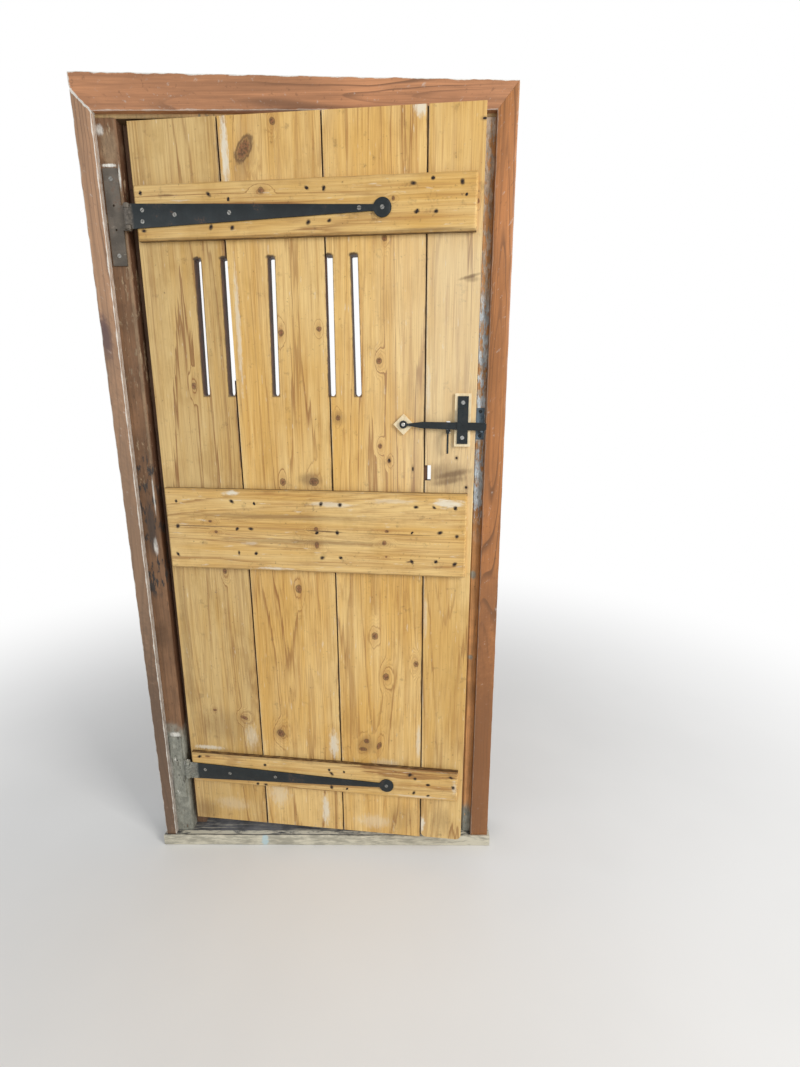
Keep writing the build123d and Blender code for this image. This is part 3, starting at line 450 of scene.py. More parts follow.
def pine(name, look, seed, upright=True, warmth=0.5, lightness=1.0, knots=(), stains=(), holes=(),
         paint=(), nails=(), joints=(), bevels=(), slots=()):
    """Waxed pine on the leaf.

    The grain is a noise drawn out along the board and cut into contour lines. Each knot lifts
    that noise in a long hump, so that the lines flow round it and close near its heart.

    Knots, stains, holes and paint are a place and two half sizes, then the dose of a stain or
    of paint, then a turn in degrees if there is one. A joint is its number, dose and tone, and
    a bevel is its foot, head and the dose of painted shade and grime laid in it. Slots are numbers in SLOTS.
    """
    wood = Finish(name)
    leaf = wood.leaf_place()
    s, depth, t = wood.parts(leaf)
    wood.axes = (s, depth, t) if upright else (t, depth, s)
    ragged = wood.grain(170.0, 45.0, seed, 4.0, 0.68)
    lift, heart, rim = None, None, None
    hump_s, hump_t = (1.15, 2.3) if upright else (2.3, 1.15)
    for place_s, place_t, half_s, half_t, *turn in knots:
        long = wood.spot(leaf, place_s, place_t, half_s * hump_s, half_t * hump_t, 0.3 * sum(turn))
        hump = wood.ease(long, 0.1, 2.7, 1.0, 0.0)
        lift = hump if lift is None else wood.plus(lift, hump)
        reach = wood.scaled_sum(ragged, 0.9, wood.spot(leaf, place_s, place_t, half_s, half_t, *turn))
        heart = wood.most(heart, wood.ease(reach, 0.95, 1.35, 1.0, 0.0))
        rim = wood.most(rim, wood.band(reach, 1.10, 1.25, 1.30, 1.55))

    # Contour lines of the grain, and the noises that vary them
    field = wood.grain(5.5, 0.42, seed * 3.7, 1.0, 0.4, across=wood.bent(2.4, 1.7, seed, 2.0, 0.034))
    phase = wood.times(field, 1.0 / (look.grain * 7.4))
    if knots:
        phase = wood.scaled_sum(lift, 1.35, phase)
    streak = wood.grain(125.0, 3.0, seed * 2.0, 3.0, 0.62)
    phase = wood.scaled_sum(streak, 0.75, phase)
    ring = wood.sum("FRACT", phase)
    line = wood.band(ring, 0.80, 0.94, 0.97, 1.0)
    swell = wood.band(ring, 0.1, 0.9, 0.93, 1.0)
    narrow = wood.band(wood.sum("FRACT", wood.times(phase, 3.7)), 0.45, 0.9, 0.93, 1.0)
    strength = wood.ease(wood.grain(5.0, 1.7, seed * 5.0), 0.36, 0.66, 0.18, 0.95)
    other = wood.ease(wood.grain(7.0, 1.1, seed * 9.0), 0.44, 0.62, 0.02, 0.34)
    fibre = wood.grain(430.0, 9.0, seed, 2.0, 0.6)
    broad = wood.grain(34.0, 1.4, seed * 4.0, 3.0, 0.6)
    cloud = wood.cloud(leaf, (3.0, 3.0, 2.2), 3.0, 0.6, (seed, seed, 0))
    blotch = wood.cloud(leaf, (13.0, 13.0, 8.0), 4.0, 0.65, (0, seed, seed))

    # Bare wood, its grain, and the grime and paint in it
    honey, pale, late = (scaled(tint, lightness) for tint in (look.honey, look.pale, look.line))
    share = wood.plus(wood.times(cloud, 0.7), wood.times(broad, 0.5))
    wood.tint = wood.mix(wood.scaled_sum(wood.ease(share, 0.45, 0.75), 0.8, warmth - 0.4), pale, honey)
    wood.tone(blotch, 0.48, 0.72, 0.38, scaled(honey, 0.72))
    wood.tone(streak, 0.50, 0.74, 0.48, scaled(late, 1.35))
    wood.tone(streak, 0.47, 0.28, 0.42, scaled(pale, 1.12))
    wood.over(wood.times(swell, wood.times(strength, 0.11)), late)
    wood.over(wood.times(narrow, other), late)
    wood.over(wood.times(line, wood.times(strength, 0.8)), late)
    wood.tone(fibre, 0.36, 0.74, 0.30, scaled(late, 1.15))
    wood.tone(wood.noise(leaf, 120.0, 3.0, 0.7), 0.63, 0.73, 0.45, look.dirt_and_shade)
    wood.tone(wood.noise(leaf, 30.0, 4.0, 0.72), 0.57, 0.72, 0.30, look.dirt_and_shade)
    wood.tone(wood.grain(120.0, 22.0, seed * 7.0, 3.0, 0.6), 0.63, 0.72, 0.42, look.paint)
    if upright:
        rubbed = wood.times(wood.ease(s, 0.50, 0.76), wood.window(t, 1.12, 1.55, 0.22))
        wood.over(wood.times(rubbed, 0.26), look.paint)
    height = wood.scaled_sum(fibre, 0.35, wood.times(line, 0.3))

    # Marks
    if knots:
        burnt = wood.mottled(wood.noise(leaf, 190.0, 3.0), 0.38, 0.60, look.knot, 0.35, 1.9)
        wood.tone(lift, 0.35, 1.0, 0.30, scaled(late, 1.3))
        wood.over(wood.times(heart, 0.85), burnt)
        wood.over(wood.times(rim, 0.70), scaled(look.knot, 0.45))
    for place_s, place_t, half_s, half_t, dose, *turn in stains:
        reach = wood.spot(leaf, place_s, place_t, half_s, half_t, *turn)
        wood.over(wood.patch(reach, ragged, 0.9, 0.75, 1.75, dose), scaled(look.dirt_and_shade, 1.5))
    for *spot, dose in paint:
        kept = wood.patch(wood.spot(leaf, *spot), ragged, 1.9, 1.25, 1.95, dose)
        wood.over(kept, look.paint)
        height = wood.scaled_sum(kept, 0.3, height)
    tones = {"pale": scaled(look.paint, 0.9), "dark": scaled(look.dirt_and_shade, 1.1)}
    for index, dose, tone in joints:
        near = wood.patch(wood.off_line(s, t, *joint_line(index)), ragged, 0.007, 0.0048, 0.0088, dose)
        patchy = wood.cloud(leaf, (2.0, 2.0, 7.0), 3.0, shift=(seed, 0, 0))
        wood.over(wood.times(near, wood.ease(patchy, 0.40, 0.60, 0.1, 1.0)), tones[tone])
    # Painted shade and grime in each bevel of a ledge, strongest near the planks
    for low, high, dose in bevels:
        near = wood.times(wood.window(t, low, high, 0.0012), wood.ease(depth, -0.0108, -0.0128, 1.0, 0.35))
        near = wood.times(near, wood.ease(ragged, 0.25, 0.60, 0.6, 1.0))
        wood.over(wood.times(near, dose), look.dirt_and_shade)
    dark = None
    for number, (place_s, place_t) in enumerate(nails):
        halves = 3.0 + 2.6 * abs(sin(1.7 * number)), 2.4 + 1.6 * abs(cos(2.3 * number))
        reach = wood.spot(leaf, place_s, place_t, *halves, 37.0 * number)
        dark = wood.most(dark, wood.patch(reach, ragged, 1.8, 1.45, 2.7))
    rise = (SLOT_HEAD - SLOT_FOOT) / 2
    for middle, slope in (SLOTS[number] for number in slots):
        torn = wood.spot(leaf, 1000 * (middle + slope * rise) - 1.5, 1000 * SLOT_HEAD, 11.5, 5.5)
        dark = wood.most(dark, wood.patch(torn, ragged, 1.3, 1.2, 1.9))
        off = wood.off_line(s, t, slope, middle - slope * (SLOT_FOOT + rise))
        edge = wood.patch(off, ragged, 0.006, SLOT_HALF + 0.0035, SLOT_HALF + 0.0058, 0.75)
        dark = wood.most(dark, wood.times(edge, wood.window(t, SLOT_FOOT, SLOT_HEAD, 0.004)))
    if dark is not None:
        wood.over(wood.times(dark, 0.92), scaled(look.dirt_and_shade, 0.42))
    for hole in holes:
        reach = wood.spot(leaf, *hole)
        inside = wood.patch(reach, ragged, 0.3, 0.9, 1.25)
        wood.over(wood.ease(reach, 1.0, 2.6, 0.35, 0.0), look.dirt_and_shade)
        wood.over(inside, scaled(look.dirt_and_shade, 0.3))
        height = wood.scaled_sum(inside, -1.5, height)

    # Painted shade, with some grime, on the sides of slots, notch and joints between the faces, and a browner
    # far side
    if upright:
        shaded_walls = wood.times(wood.window(depth, 0.0016, 0.0238, 0.0010), wood.window(s, 0.004, 0.8145, 0.0005))
        shaded_walls = wood.times(shaded_walls, wood.window(t, 0.001, LEAF_HEIGHT - 0.001, 0.0004))
        wall_shade_tint = wood.mix(wood.ease(ragged, 0.35, 0.62), scaled(look.dirt_and_shade, 0.5), scaled(look.knot, 0.9))
        wood.over(wood.times(shaded_walls, 0.94), wall_shade_tint)
        wood.tone(depth, 0.0235, 0.0255, 0.30, scaled(late, 0.9))
    rough = wood.ease(fibre, 0.3, 0.8, 0.44, 0.62)
    return wood.done(rough, height, 0.0006, coat=0.12, coat_rough=0.35, shine=0.4)


def stained_board(name, tint, look, seed, white=(0.9, 0.9), side=0.0, mitre=0.0, stains=(), rough=0.42):
    """Stained or varnished board: fine grain along it, paint left on its arrises and in its mitres.

    The "board" attribute is across, out and along; "rim" is how near a point is to the inner
    arris, to the outer arris and to a mitre. A stain is its place across and along, its half
    sizes, dose and colour.
    """
    wood = Finish(name)
    place = wood.attribute("board")
    across, out, along = wood.parts(place)
    wood.axes = across, out, along
    field = wood.grain(13.0, 0.75, seed, 1.0, 0.4, across=wood.bent(5.0, 3.4, seed, 3.0, 0.020))
    line = wood.band(wood.sum("FRACT", wood.times(field, 17.0)), 0.60, 0.92, 0.95, 1.0)
    fibre = wood.grain(480.0, 10.0, seed, 2.0, 0.6)
    streak = wood.grain(150.0, 4.0, seed * 2.0, 3.0, 0.62)
    cloud = wood.cloud(place, (9.0, 9.0, 3.2), 4.0, 0.62, (seed, 0, 0))
    strength = wood.ease(wood.grain(14.0, 2.2, seed * 3.0), 0.36, 0.64, 0.15, 0.85)
    rub = wood.noise(place, 75.0, 4.0, 0.72)
    wood.tint = wood.mottled(cloud, 0.33, 0.70, tint, 0.76, 1.16)
    wood.tone(streak, 0.48, 0.72, 0.50, scaled(tint, 0.52))
    wood.tone(streak, 0.46, 0.28, 0.35, scaled(tint, 1.45))
    wood.over(wood.times(line, strength), scaled(tint, 0.34))
    wood.tone(fibre, 0.4, 0.8, 0.4, scaled(tint, 0.55))
    wood.tone(rub, 0.61, 0.74, 0.40, scaled(look.white, 0.72))
    wood.tone(rub, 0.40, 0.30, 0.45, scaled(tint, 0.30))
    for *spot, dose, stain in stains:
        wood.over(wood.patch(wood.spot(place, *spot), rub, 1.2, 1.0, 2.0, dose), stain)
    inner, outer, cut = wood.parts(wood.attribute("rim"))
    ragged = wood.cloud(place, (150.0, 150.0, 42.0), 4.0, 0.7)
    kept = None
    for near, dose in zip((inner, outer), white):
        kept = wood.most(kept, wood.ease(wood.plus(ragged, near), 1.16, 1.36, 0.0, dose))
    if side:
        flank = wood.times(wood.ease(out, 0.0125, 0.0115), wood.ease(across, 0.0030, 0.0020))
        kept = wood.most(kept, wood.times(flank, wood.ease(ragged, 0.38, 0.50, 0.2, side)))
    if mitre:
        kept = wood.most(kept, wood.ease(wood.plus(ragged, cut), 1.10, 1.35, 0.0, mitre))
    wood.over(kept, wood.mottled(rub, 0.35, 0.6, look.white, 0.80, 1.0))
    height = wood.scaled_sum(fibre, 0.3, wood.times(kept, 0.6))
    rough = wood.ease(cloud, 0.3, 0.7, rough - 0.06, rough + 0.12)
    return wood.done(rough, height, 0.0006, coat=0.2, coat_rough=0.25)


def layered_paint(name, under, layers, seed, inside=None):
    """Old timber under ragged layers of paint.

    A layer is its colour, how much of its zone it covers, the zone's foot and head, and spots
    of it. "inside" is a colour of painted shade, laid on what lies behind the front faces.
    """
    coat = Finish(name)
    _, y, z = coat.parts(coat.place)
    fibre = coat.cloud(coat.place, (330.0, 330.0, 9.0), 2.0, 0.6, (seed, 0, 0))
    streak = coat.cloud(coat.place, (120.0, 120.0, 5.0), 3.0, 0.65, (seed, 0, 0))
    cloud = coat.noise(coat.mapped(coat.place, (seed, 0, seed)), 7.0, 4.0, 0.62)
    fine = coat.noise(coat.mapped(coat.place, (0, seed, 0), scale=(1.6, 1.6, 0.8)), 52.0, 5.0, 0.72)
    crack = coat.noise(coat.mapped(coat.place, scale=(1.0, 1.0, 0.35)), 130.0, 3.0, 0.8)
    coat.tint = coat.mottled(cloud, 0.35, 0.68, under, 0.70, 1.22)
    coat.tone(streak, 0.48, 0.74, 0.6, scaled(under, 0.42))
    coat.tone(fibre, 0.4, 0.75, 0.5, scaled(under, 0.45))
    # Painted shade on the faces behind the front ones, such as an inner side or an underside
    if inside is not None:
        back = coat.ease(y, 0.0024, 0.0052)
        coat.over(coat.times(back, coat.ease(cloud, 0.2, 0.6, 1.0, 0.80)), inside)
    height = coat.times(fine, 0.5)
    for number, (over, cover, low, high, *spots) in enumerate(layers):
        shift = 3.1 * number + seed
        ragged = coat.mapped(coat.place, (shift, 0, shift), scale=(1.8, 1.8, 0.45))
        wide = coat.noise(coat.mapped(coat.place, (shift, 0, shift)), 11.0, 3.0, 0.6)
        mixed = coat.plus(coat.times(coat.noise(ragged, 60.0, 5.0, 0.70), 0.62), coat.times(wide, 0.38))
        kept = None
        if cover > 0:
            level = 0.66 - 0.30 * cover
            zone = coat.window(coat.scaled_sum(wide, 0.16, z), low + 0.08, high + 0.08, 0.05)
            kept = coat.times(coat.ease(mixed, level, level + 0.05), zone)
        for *spot, dose in spots:
            kept = coat.most(kept, coat.patch(coat.spot(coat.place, *spot), mixed, 1.7, 1.30, 1.85, dose))
        coat.over(kept, coat.mottled(fine, 0.35, 0.68, over, 0.66, 1.14))
        height = coat.scaled_sum(kept, 0.6, height)
    coat.tone(crack, 0.60, 0.68, 0.65, scaled(under, 0.35))
    return coat.done(coat.ease(fine, 0.3, 0.7, 0.5, 0.75), height, 0.0008, shine=0.35)


def iron(name, tint, rust, metal, rough, seed, rub=0.25, coat=0.0, root=None, root_end=0.0):
    """Hammered iron: clouds of rust and rubbed patches over its paint, and another tone at its root."""
    skin = Finish(name)
    place = skin.mapped(skin.place, (seed, seed, seed))
    cloud = skin.noise(place, 26.0, 4.0, 0.6)
    fine = skin.noise(place, 210.0, 4.0, 0.68)
    dents = skin.noise(place, 75.0, 2.0, 0.5)
    skin.tint = skin.mottled(cloud, 0.35, 0.7, tint, 0.72, 1.25)
    if root is not None:
        x = skin.parts(skin.place)[0]
        near = skin.ease(skin.scaled_sum(cloud, 0.012, x), root_end + 0.014, root_end + 0.004, 0.0, 0.96)
        skin.over(near, skin.mottled(fine, 0.35, 0.65, root, 0.55, 1.25))
    skin.tone(fine, 0.60, 0.72, rub, scaled(tint, 2.6))
    skin.tone(skin.cloud(place, (40.0, 40.0, 150.0), 4.0, 0.7), 0.61, 0.74, rub, scaled(tint, 3.6))
    skin.over(skin.times(skin.ease(cloud, 0.55, 0.70), skin.ease(fine, 0.45, 0.62, 0.0, 0.7)), rust)
    rough = skin.ease(fine, 0.3, 0.75, rough - 0.08, rough + 0.16)
    return skin.done(rough, skin.scaled_sum(fine, 0.35, dents), 0.0005, coat=coat, metal=metal)


# Meshes

def soften(mesh, sharp=38.0):
    """Shade a mesh smoothly, but for edges past an angle in degrees."""
    mesh.polygons.foreach_set("use_smooth", np.ones(len(mesh.polygons), bool))
    mesh.set_sharp_from_angle(angle=radians(sharp))


def closed_mesh(name, rings, attributes=None, sharp=38.0):
    """Closed mesh of one or many like pieces: every ring goes once round a piece, its ends are capped."""
    if rings.ndim == 3:
        rings = rings[None]
    pieces, count, width = rings.shape[:3]
    index = np.arange(pieces * count * width).reshape(pieces, count, width)
    after = np.roll(index, -1, axis=2)
    quads = np.stack((index[:, :-1], after[:, :-1], after[:, 1:], index[:, 1:]), -1).reshape(-1, 4)
    faces = quads.tolist() + index[:, 0, ::-1].tolist() + index[:, -1].tolist()
    first = rings[0].reshape(-1, 3) - rings[0].reshape(-1, 3).mean(0)
    a, b, c, e = (first[quads[:(count - 1) * width, k]] for k in range(4))
    volume = np.einsum("ij,ij->", a, np.cross(b, c)) + np.einsum("ij,ij->", a, np.cross(c, e))
    if volume < 0:
        faces = [face[::-1] for face in faces]
    mesh = bpy.data.meshes.new(name)
    mesh.from_pydata(rings.reshape(-1, 3).tolist(), [], faces)
    for label, values in (attributes or {}).items():
        layer = mesh.attributes.new(label, "FLOAT_VECTOR", "POINT")
        layer.data.foreach_set("vector", np.ascontiguousarray(values, np.float32).ravel())
    soften(mesh, sharp)
    mesh.update()
    return mesh


def stood(name, data):
    """A new object in the scene."""
    thing = bpy.data.objects.new(name, data)
    bpy.context.scene.collection.objects.link(thing)
    return thing


def placed(name, mesh, material, body, node):
    """Put a new piece in the scene, riding on a body and standing for a node."""
    piece = stood(name, mesh)
    mesh.materials.append(material)
    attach(piece, body)
    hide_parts(node)
    return piece


def dress(node, material):
    """Give a CAD node its finish."""
    slots = frame["nodes"][node].data.materials
    slots.clear()
    slots.append(material)


def eased(node, width, material, segments=2):
    """Merged copy of a CAD node with its sharp edges rounded, in its place."""
    source = frame["nodes"][node]
    shape = bmesh.new()
    shape.from_mesh(source.data)
    bmesh.ops.remove_doubles(shape, verts=shape.verts, dist=2e-6)
    bmesh.ops.dissolve_limit(shape, angle_limit=radians(1.5), verts=shape.verts, edges=shape.edges)
    mesh = bpy.data.meshes.new(node + "_eased")
    shape.to_mesh(mesh)
    shape.free()
    soften(mesh)
    piece = placed(node + "_eased", mesh, material, source["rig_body"], node)
    bevel = piece.modifiers.new("rounded edges", "BEVEL")
    bevel.width = width
    bevel.segments = segments
    bevel.limit_method = "ANGLE"
    bevel.angle_limit = radians(32)
    bevel.harden_normals = True


def wander(along, seed, pitch=0.09):
    """Smooth wandering between -1 and 1: four sines of rising frequency and falling size."""
    total = np.zeros_like(along)
    rng = np.random.default_rng(seed)
    for step, phase in enumerate(rng.uniform(0, 2 * pi, 4)):
        total += np.sin(along * 2 * pi / pitch * 1.83 ** step + phase) * 0.62 ** step
    return total / 2.2


def rounded_ring(width, thickness, left, right):
    """Ring round a board's section for every step along it: square at the back, arrises rounded.

    Returns across, out, and how near each point is to the left and to the right arris.
    """
    zero = np.zeros_like(width)
    turn = [(1 - cos(a), 1 - sin(a), 0.62 + 0.38 * sin(2 * a)) for a in np.linspace(0, pi / 2, 5)]
    rows = [(zero, zero, 0.0, 0.0), (zero, thickness * 0.45 + zero, 0.2, 0.0)]
    rows += [(left * inward, thickness - left * down, near, 0.0) for inward, down, near in turn]
    for share in np.linspace(0, 1, 9)[1:-1]:
        rows.append((left + share * (width - left - right), thickness + zero,
                     max(0.0, 0.5 - 4 * share), max(0.0, 0.5 - 4 * (1 - share))))
    rows += [(width - right * inward, thickness - right * down, 0.0, near)
             for inward, down, near in turn[::-1]]
    rows += [(width, thickness * 0.45 + zero, 0.0, 0.2), (width, zero, 0.0, 0.0)]
    return [np.stack([value + zero for value in part], 1) for part in zip(*rows)]


def along_outline(outline, share):
    """Points a share of the way along a polyline."""
    runs = np.concatenate(([0], np.cumsum(np.linalg.norm(np.diff(outline, axis=0), axis=1))))
    points = [np.interp(share.ravel() * runs[-1], runs, outline[:, k]) for k in (0, 1)]
    return np.stack(points, -1).reshape(*share.shape, 2)


def wall_board(name, start, end, back, thickness, radius, wear, seed, mitre=(False, False)):
    """Board in the wall's plane.

    A point a share of the way across it lies between the point that far along the start
    outline and the point that far along the end outline. Its front and its arrises wander
    inwards a little along it, as worn timber does.
    """
    start, end = np.asarray(start, float), np.asarray(end, float)
    shares = np.linspace(0, 1, BOARD_STEPS)
    run = np.linalg.norm(end[0] - start[0])
    axis = (end[0] - start[0]) / run
    normal = np.array((axis[1], -axis[0]))
    first, last = (abs((outline[-1] - outline[0]) @ normal) for outline in (start, end))
    width = first + shares * (last - first)
    along = shares * run
    left, right = (radius * (1.0 + 0.6 * wander(along, seed + side)) for side in (0, 1))
    across, out, near_left, near_right = rounded_ring(width, thickness, left, right)
    inset, hollow = (wear * (0.5 + 0.5 * wander(along, seed + face, pitch))
                     for face, pitch in ((2, 0.17), (3, 0.31)))
    share = across / width[:, None]
    share = share + (inset / width)[:, None] * (1 - 2 * share) * 0.8
    out = out - hollow[:, None] * (out > thickness * 0.5)
    begin = along_outline(start, share)
    flat = begin + (along_outline(end, share) - begin) * shares[:, None, None]
    rings = np.stack((flat[..., 0], back - out, flat[..., 1]), -1)
    cut = np.zeros_like(along)
    for used, distance in zip(mitre, (along, run - along)):
        if used:
            cut = np.maximum(cut, np.clip(1.0 - distance / 0.010, 0, 1))
    places = np.stack((across, out, np.broadcast_to(along[:, None], across.shape)), -1)
    rims = np.stack((near_left, near_right, np.broadcast_to(cut[:, None], across.shape)), -1)
    return closed_mesh(name, rings, {"board": places, "rim": rims})


def ledge_mesh(name, foot, head, wear, seed):
    """Ledge: a bevelled section carried across the leaf.

    At a distance x from either end the bevel has grown to the lesser of x and its full width,
    so the ends are bevelled too. Its edges, its face and its bevels wander with wear.
    """
    first, last = LEDGE_ENDS
    corner = np.linspace(0, LEDGE_BEVEL, 5)
    s = np.unique(np.concatenate((np.linspace(first, last, LEDGE_STEPS), first + corner, last - corner)))
    reach = np.minimum(s - first, last - s)
    face = LEDGE_DEPTH - wear * 0.5 * (1 + wander(s, seed + 2, 0.23))
    low = foot + wear * 0.5 * (1 + wander(s, seed + 3, 0.15))
    high = head - wear * 0.5 * (1 + wander(s, seed + 4, 0.15))

    def bevel(number):
        """How far in and how far out the lines along a bevel lie."""
        width = LEDGE_BEVEL * (1 + 0.22 * wander(s, number))
        rows = []
        for share in (0.0, 0.12, 0.5, 0.88, 1.0):
            soft = 0.10 * sin(pi * share) * width
            grown = np.minimum(reach, width * share)
            rows.append((grown - soft, face - width + grown + soft))
        return rows

    lower, upper = bevel(seed + 1), bevel(seed)
    none, shoulder = np.zeros_like(s), (face - LEDGE_BEVEL) * 0.6
    rows = [(low, none), (low, shoulder)] + [(low + inward, rise) for inward, rise in lower]
    start, end = rows[-1][0], high - upper[-1][0]
    for number, share in enumerate(np.linspace(0, 1, 9)[1:-1]):
        flat = lower[-1][1] * (1 - share) + upper[-1][1] * share
        rows.append((start + share * (end - start), flat + 0.0002 * wander(s, seed + 5 + number)))
    rows += [(high - inward, rise) for inward, rise in upper[::-1]] + [(high, shoulder), (high, none)]
    up, out = (np.stack(part, 1) for part in zip(*rows))
    return closed_mesh(name, hung(s[:, None], up, out), sharp=24.0)


def nail_mesh(name, places, seed):
    """Cut nails: each a ring carried up a shank and over a low, uneven head, one ring per level."""
    rng = np.random.default_rng(seed)
    count, sides = len(places), 12
    angle = np.linspace(0, 2 * pi, sides, endpoint=False)
    level = np.array((-0.0205, 0.0150, 0.0154, 0.0161, 0.01635, 0.0163))
    share = np.array((0.45, 0.55, 1.0, 0.95, 0.7, 0.25))
    size = rng.uniform(0.0017, 0.0030, (count, 1, 1))
    stretch = rng.uniform(1.0, 1.9, (count, 1, 1))
    turn = rng.uniform(0, pi, (count, 1, 1))
    dented = 0.10 * rng.uniform(-1, 1, (count, 1, sides))
    uneven = 1 + 0.16 * np.sin(2 * angle[None, None, :] + 2 * turn) + dented
    radius = size * share[None, :, None] * uneven
    x = radius * np.cos(angle) * stretch
    y = radius * np.sin(angle)
    middle_s, middle_t = (np.array(places)[:, k, None, None] / 1000 for k in (0, 1))
    across = middle_s + x * np.cos(turn) - y * np.sin(turn)
    up = middle_t + x * np.sin(turn) + y * np.cos(turn)
    return closed_mesh(name, hung(across, up, level[None, :, None] + np.zeros_like(across)))


def strap_mesh(name, level, seed):
    """Tapered strap rolled round its pin.

    The path of the section's middle goes most of a turn round the pin, steps down on to the
    ledge and runs straight to the tip. The section is a flat bar with rounded edges, whose
    height tapers along the run and then follows a circle's chord round the penny end.
    """
    reach_end, penny = 0.606, 0.0205
    pin_out, rolled, face, knuckle, root = 0.0155, 0.0065, 0.0178, 0.018, 0.0095
    half_root, half_tip, half_thick, edge = 0.027, 0.006, 0.0019, 0.0009
    turn = np.radians(np.linspace(-40, 180, 34))
    step = np.linspace(0, 1, 9)[1:]
    smooth = step * step * (3 - 2 * step)
    blade = np.concatenate((np.linspace(0.016, 0.575, 64), np.linspace(0.580, reach_end, 14)[1:],
                            reach_end + penny * np.sin(np.linspace(0.1, pi / 2, 18))))
    reach = np.concatenate((-rolled * np.sin(turn), step * 0.0145, blade))
    down = pin_out + rolled + (face - pin_out - rolled) * smooth
    out = np.concatenate((pin_out - rolled * np.cos(turn), down, np.full_like(blade, face)))
    taper = half_root + (reach - root) / (reach_end - root) * (half_tip - half_root)
    chord = np.sqrt(np.clip(penny ** 2 - (reach - reach_end) ** 2, 0, None))
    half = np.where(reach > reach_end - penny, np.maximum(chord, taper), taper)
    half = np.where(reach > reach_end, chord, half)
    half = np.where((np.arange(len(half)) < len(turn)) | (reach < root), knuckle, half)
    half = np.maximum(half, 0.0005) * (1 + 0.008 * wander(reach, seed, 0.11))
    tangent = np.gradient(np.stack((reach, out), 1), axis=0)
    tangent /= np.linalg.norm(tangent, axis=1)[:, None]
    soft = np.minimum(edge, half * 0.8)[:, None]
    ring = np.linspace(0, 2 * pi, 16, endpoint=False) + pi / 16
    rise = np.sign(np.cos(ring)) * (half[:, None] - soft) + soft * np.cos(ring)
    lift = np.sign(np.sin(ring)) * (half_thick - soft) + soft * np.sin(ring)
    pin = HINGE.x - LEAF_ORIGIN.x - (LEAF_ORIGIN.z + level - HINGE.z) * np.tan(SAG)
    s = pin + reach[:, None] - tangent[:, 1:] * lift
    return closed_mesh(name, hung(s, level + rise, out[:, None] + tangent[:, :1] * lift))


# Operators

class Step:
    """What all steps share: each builds its own part of the scene."""

    def execute(self, context):
        self.build(context.scene)
        return {"FINISHED"}


class DOOR_OT_planks(Step, bpy.types.Operator):
    """Round the planks' edges and give each its own grain, knots, stains and paint remains"""
    bl_idname = "plank_door.planks"
    bl_label = "Planks"

    def build(self, scene):
        look = scene.door_pine
        for number, marks in PLANK_MARKS.items():
            eased(f"plank_{number}", look.arris, pine(f"waxed_pine_plank_{number}", look, **marks))


class DOOR_OT_ledges(Step, bpy.types.Operator):
    """Carry the ledges' bevelled sections across the leaf and drive their nails"""
    bl_idname = "plank_door.ledges"
    bl_label = "Ledges and nails"

    def build(self, scene):
        look = scene.door_pine
        rusted = iron("rusted_cut_nails", scene.door_iron.nail, shade(84, 50, 34), 0.4, 0.62, 3.0)
        for number, (name, (foot, head)) in enumerate(LEDGES.items()):
            marks = dict(LEDGE_MARKS[name], nails=NAILS[name], upright=False)
            board = ledge_mesh(f"ledge_{name}_board", foot, head, look.wear, 70 + 20 * number)
            placed(f"ledge_{name}_board", board, pine(f"waxed_pine_{name}_ledge", look, **marks),
                   "leaf", f"ledge_{name}")
            heads = nail_mesh(f"ledge_{name}_nail_heads", NAILS[name], 90 + number)
            placed(f"ledge_{name}_nail_heads", heads, rusted, "leaf", f"ledge_{name}_nails")


class DOOR_OT_architraves(Step, bpy.types.Operator):
    """Carry worn board sections round the opening, mitred at the corners"""
    bl_idname = "plank_door.architraves"
    bl_label = "Architraves"

    def build(self, scene):
        look = scene.door_frame
        low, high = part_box("architrave_left")
        head_low, head_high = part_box("architrave_head")
        right_low, right_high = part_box("architrave_right")
        inner_left, outer_left, inner_right = high.x, low.x, right_low.x
        inner_head, foot, gap = head_low.z, SILL_HIGH.z, 0.0004
        foot_left, foot_right = inner_left - 0.031, inner_right + 0.053
        mitre_left, mitre_right = inner_head + 0.043, inner_head + 0.058
        corner_right = right_high.x - 0.005
        boards = {
            "left": (((inner_left, foot), (foot_left, foot)),
                     ((inner_left, inner_head - gap), (outer_left, mitre_left - gap)), (False, True)),
            "head": (((inner_left, inner_head), (outer_left, mitre_left), (outer_left, head_high.z)),
                     ((inner_right, inner_head), (corner_right, mitre_right)), (True, False)),
            "right": (((inner_right, foot), (foot_right, foot)),
                      ((inner_right, inner_head - gap), (corner_right, mitre_right - gap)), (False, False)),
        }
        finishes = {
            "left": stained_board("pinkish_stained_architrave", look.left, look, 3.1, (0.7, 0.7), 0.50, 0.9,
                                  stains=((30, 1440, 16, 50, 0.9, shade(84, 58, 60)),
                                          (20, 750, 50, 620, 0.70, shade(122, 96, 72)),
                                          (20, 250, 50, 420, 0.85, shade(94, 72, 54)))),
            "head": stained_board("red_brown_head_architrave", look.head, look, 5.3, (0.45, 0.95), 0.0, 0.85),
            # The right architrave is made darker towards its foot
            "right": stained_board("orange_brown_architrave", look.right, look, 7.7, (0.25, 0.0), rough=0.36,
                                   stains=((30, 250, 60, 450, 0.75, scaled(look.right, 0.46)),)),
        }
        for number, (name, (start, end, mitre)) in enumerate(boards.items()):
            mesh = wall_board(f"architrave_{name}_board", start, end, high.y, high.y - low.y,
                              look.arris, look.wear, 11 + 10 * number, mitre)
            placed(f"architrave_{name}_board", mesh, finishes[name], "frame", f"architrave_{name}")


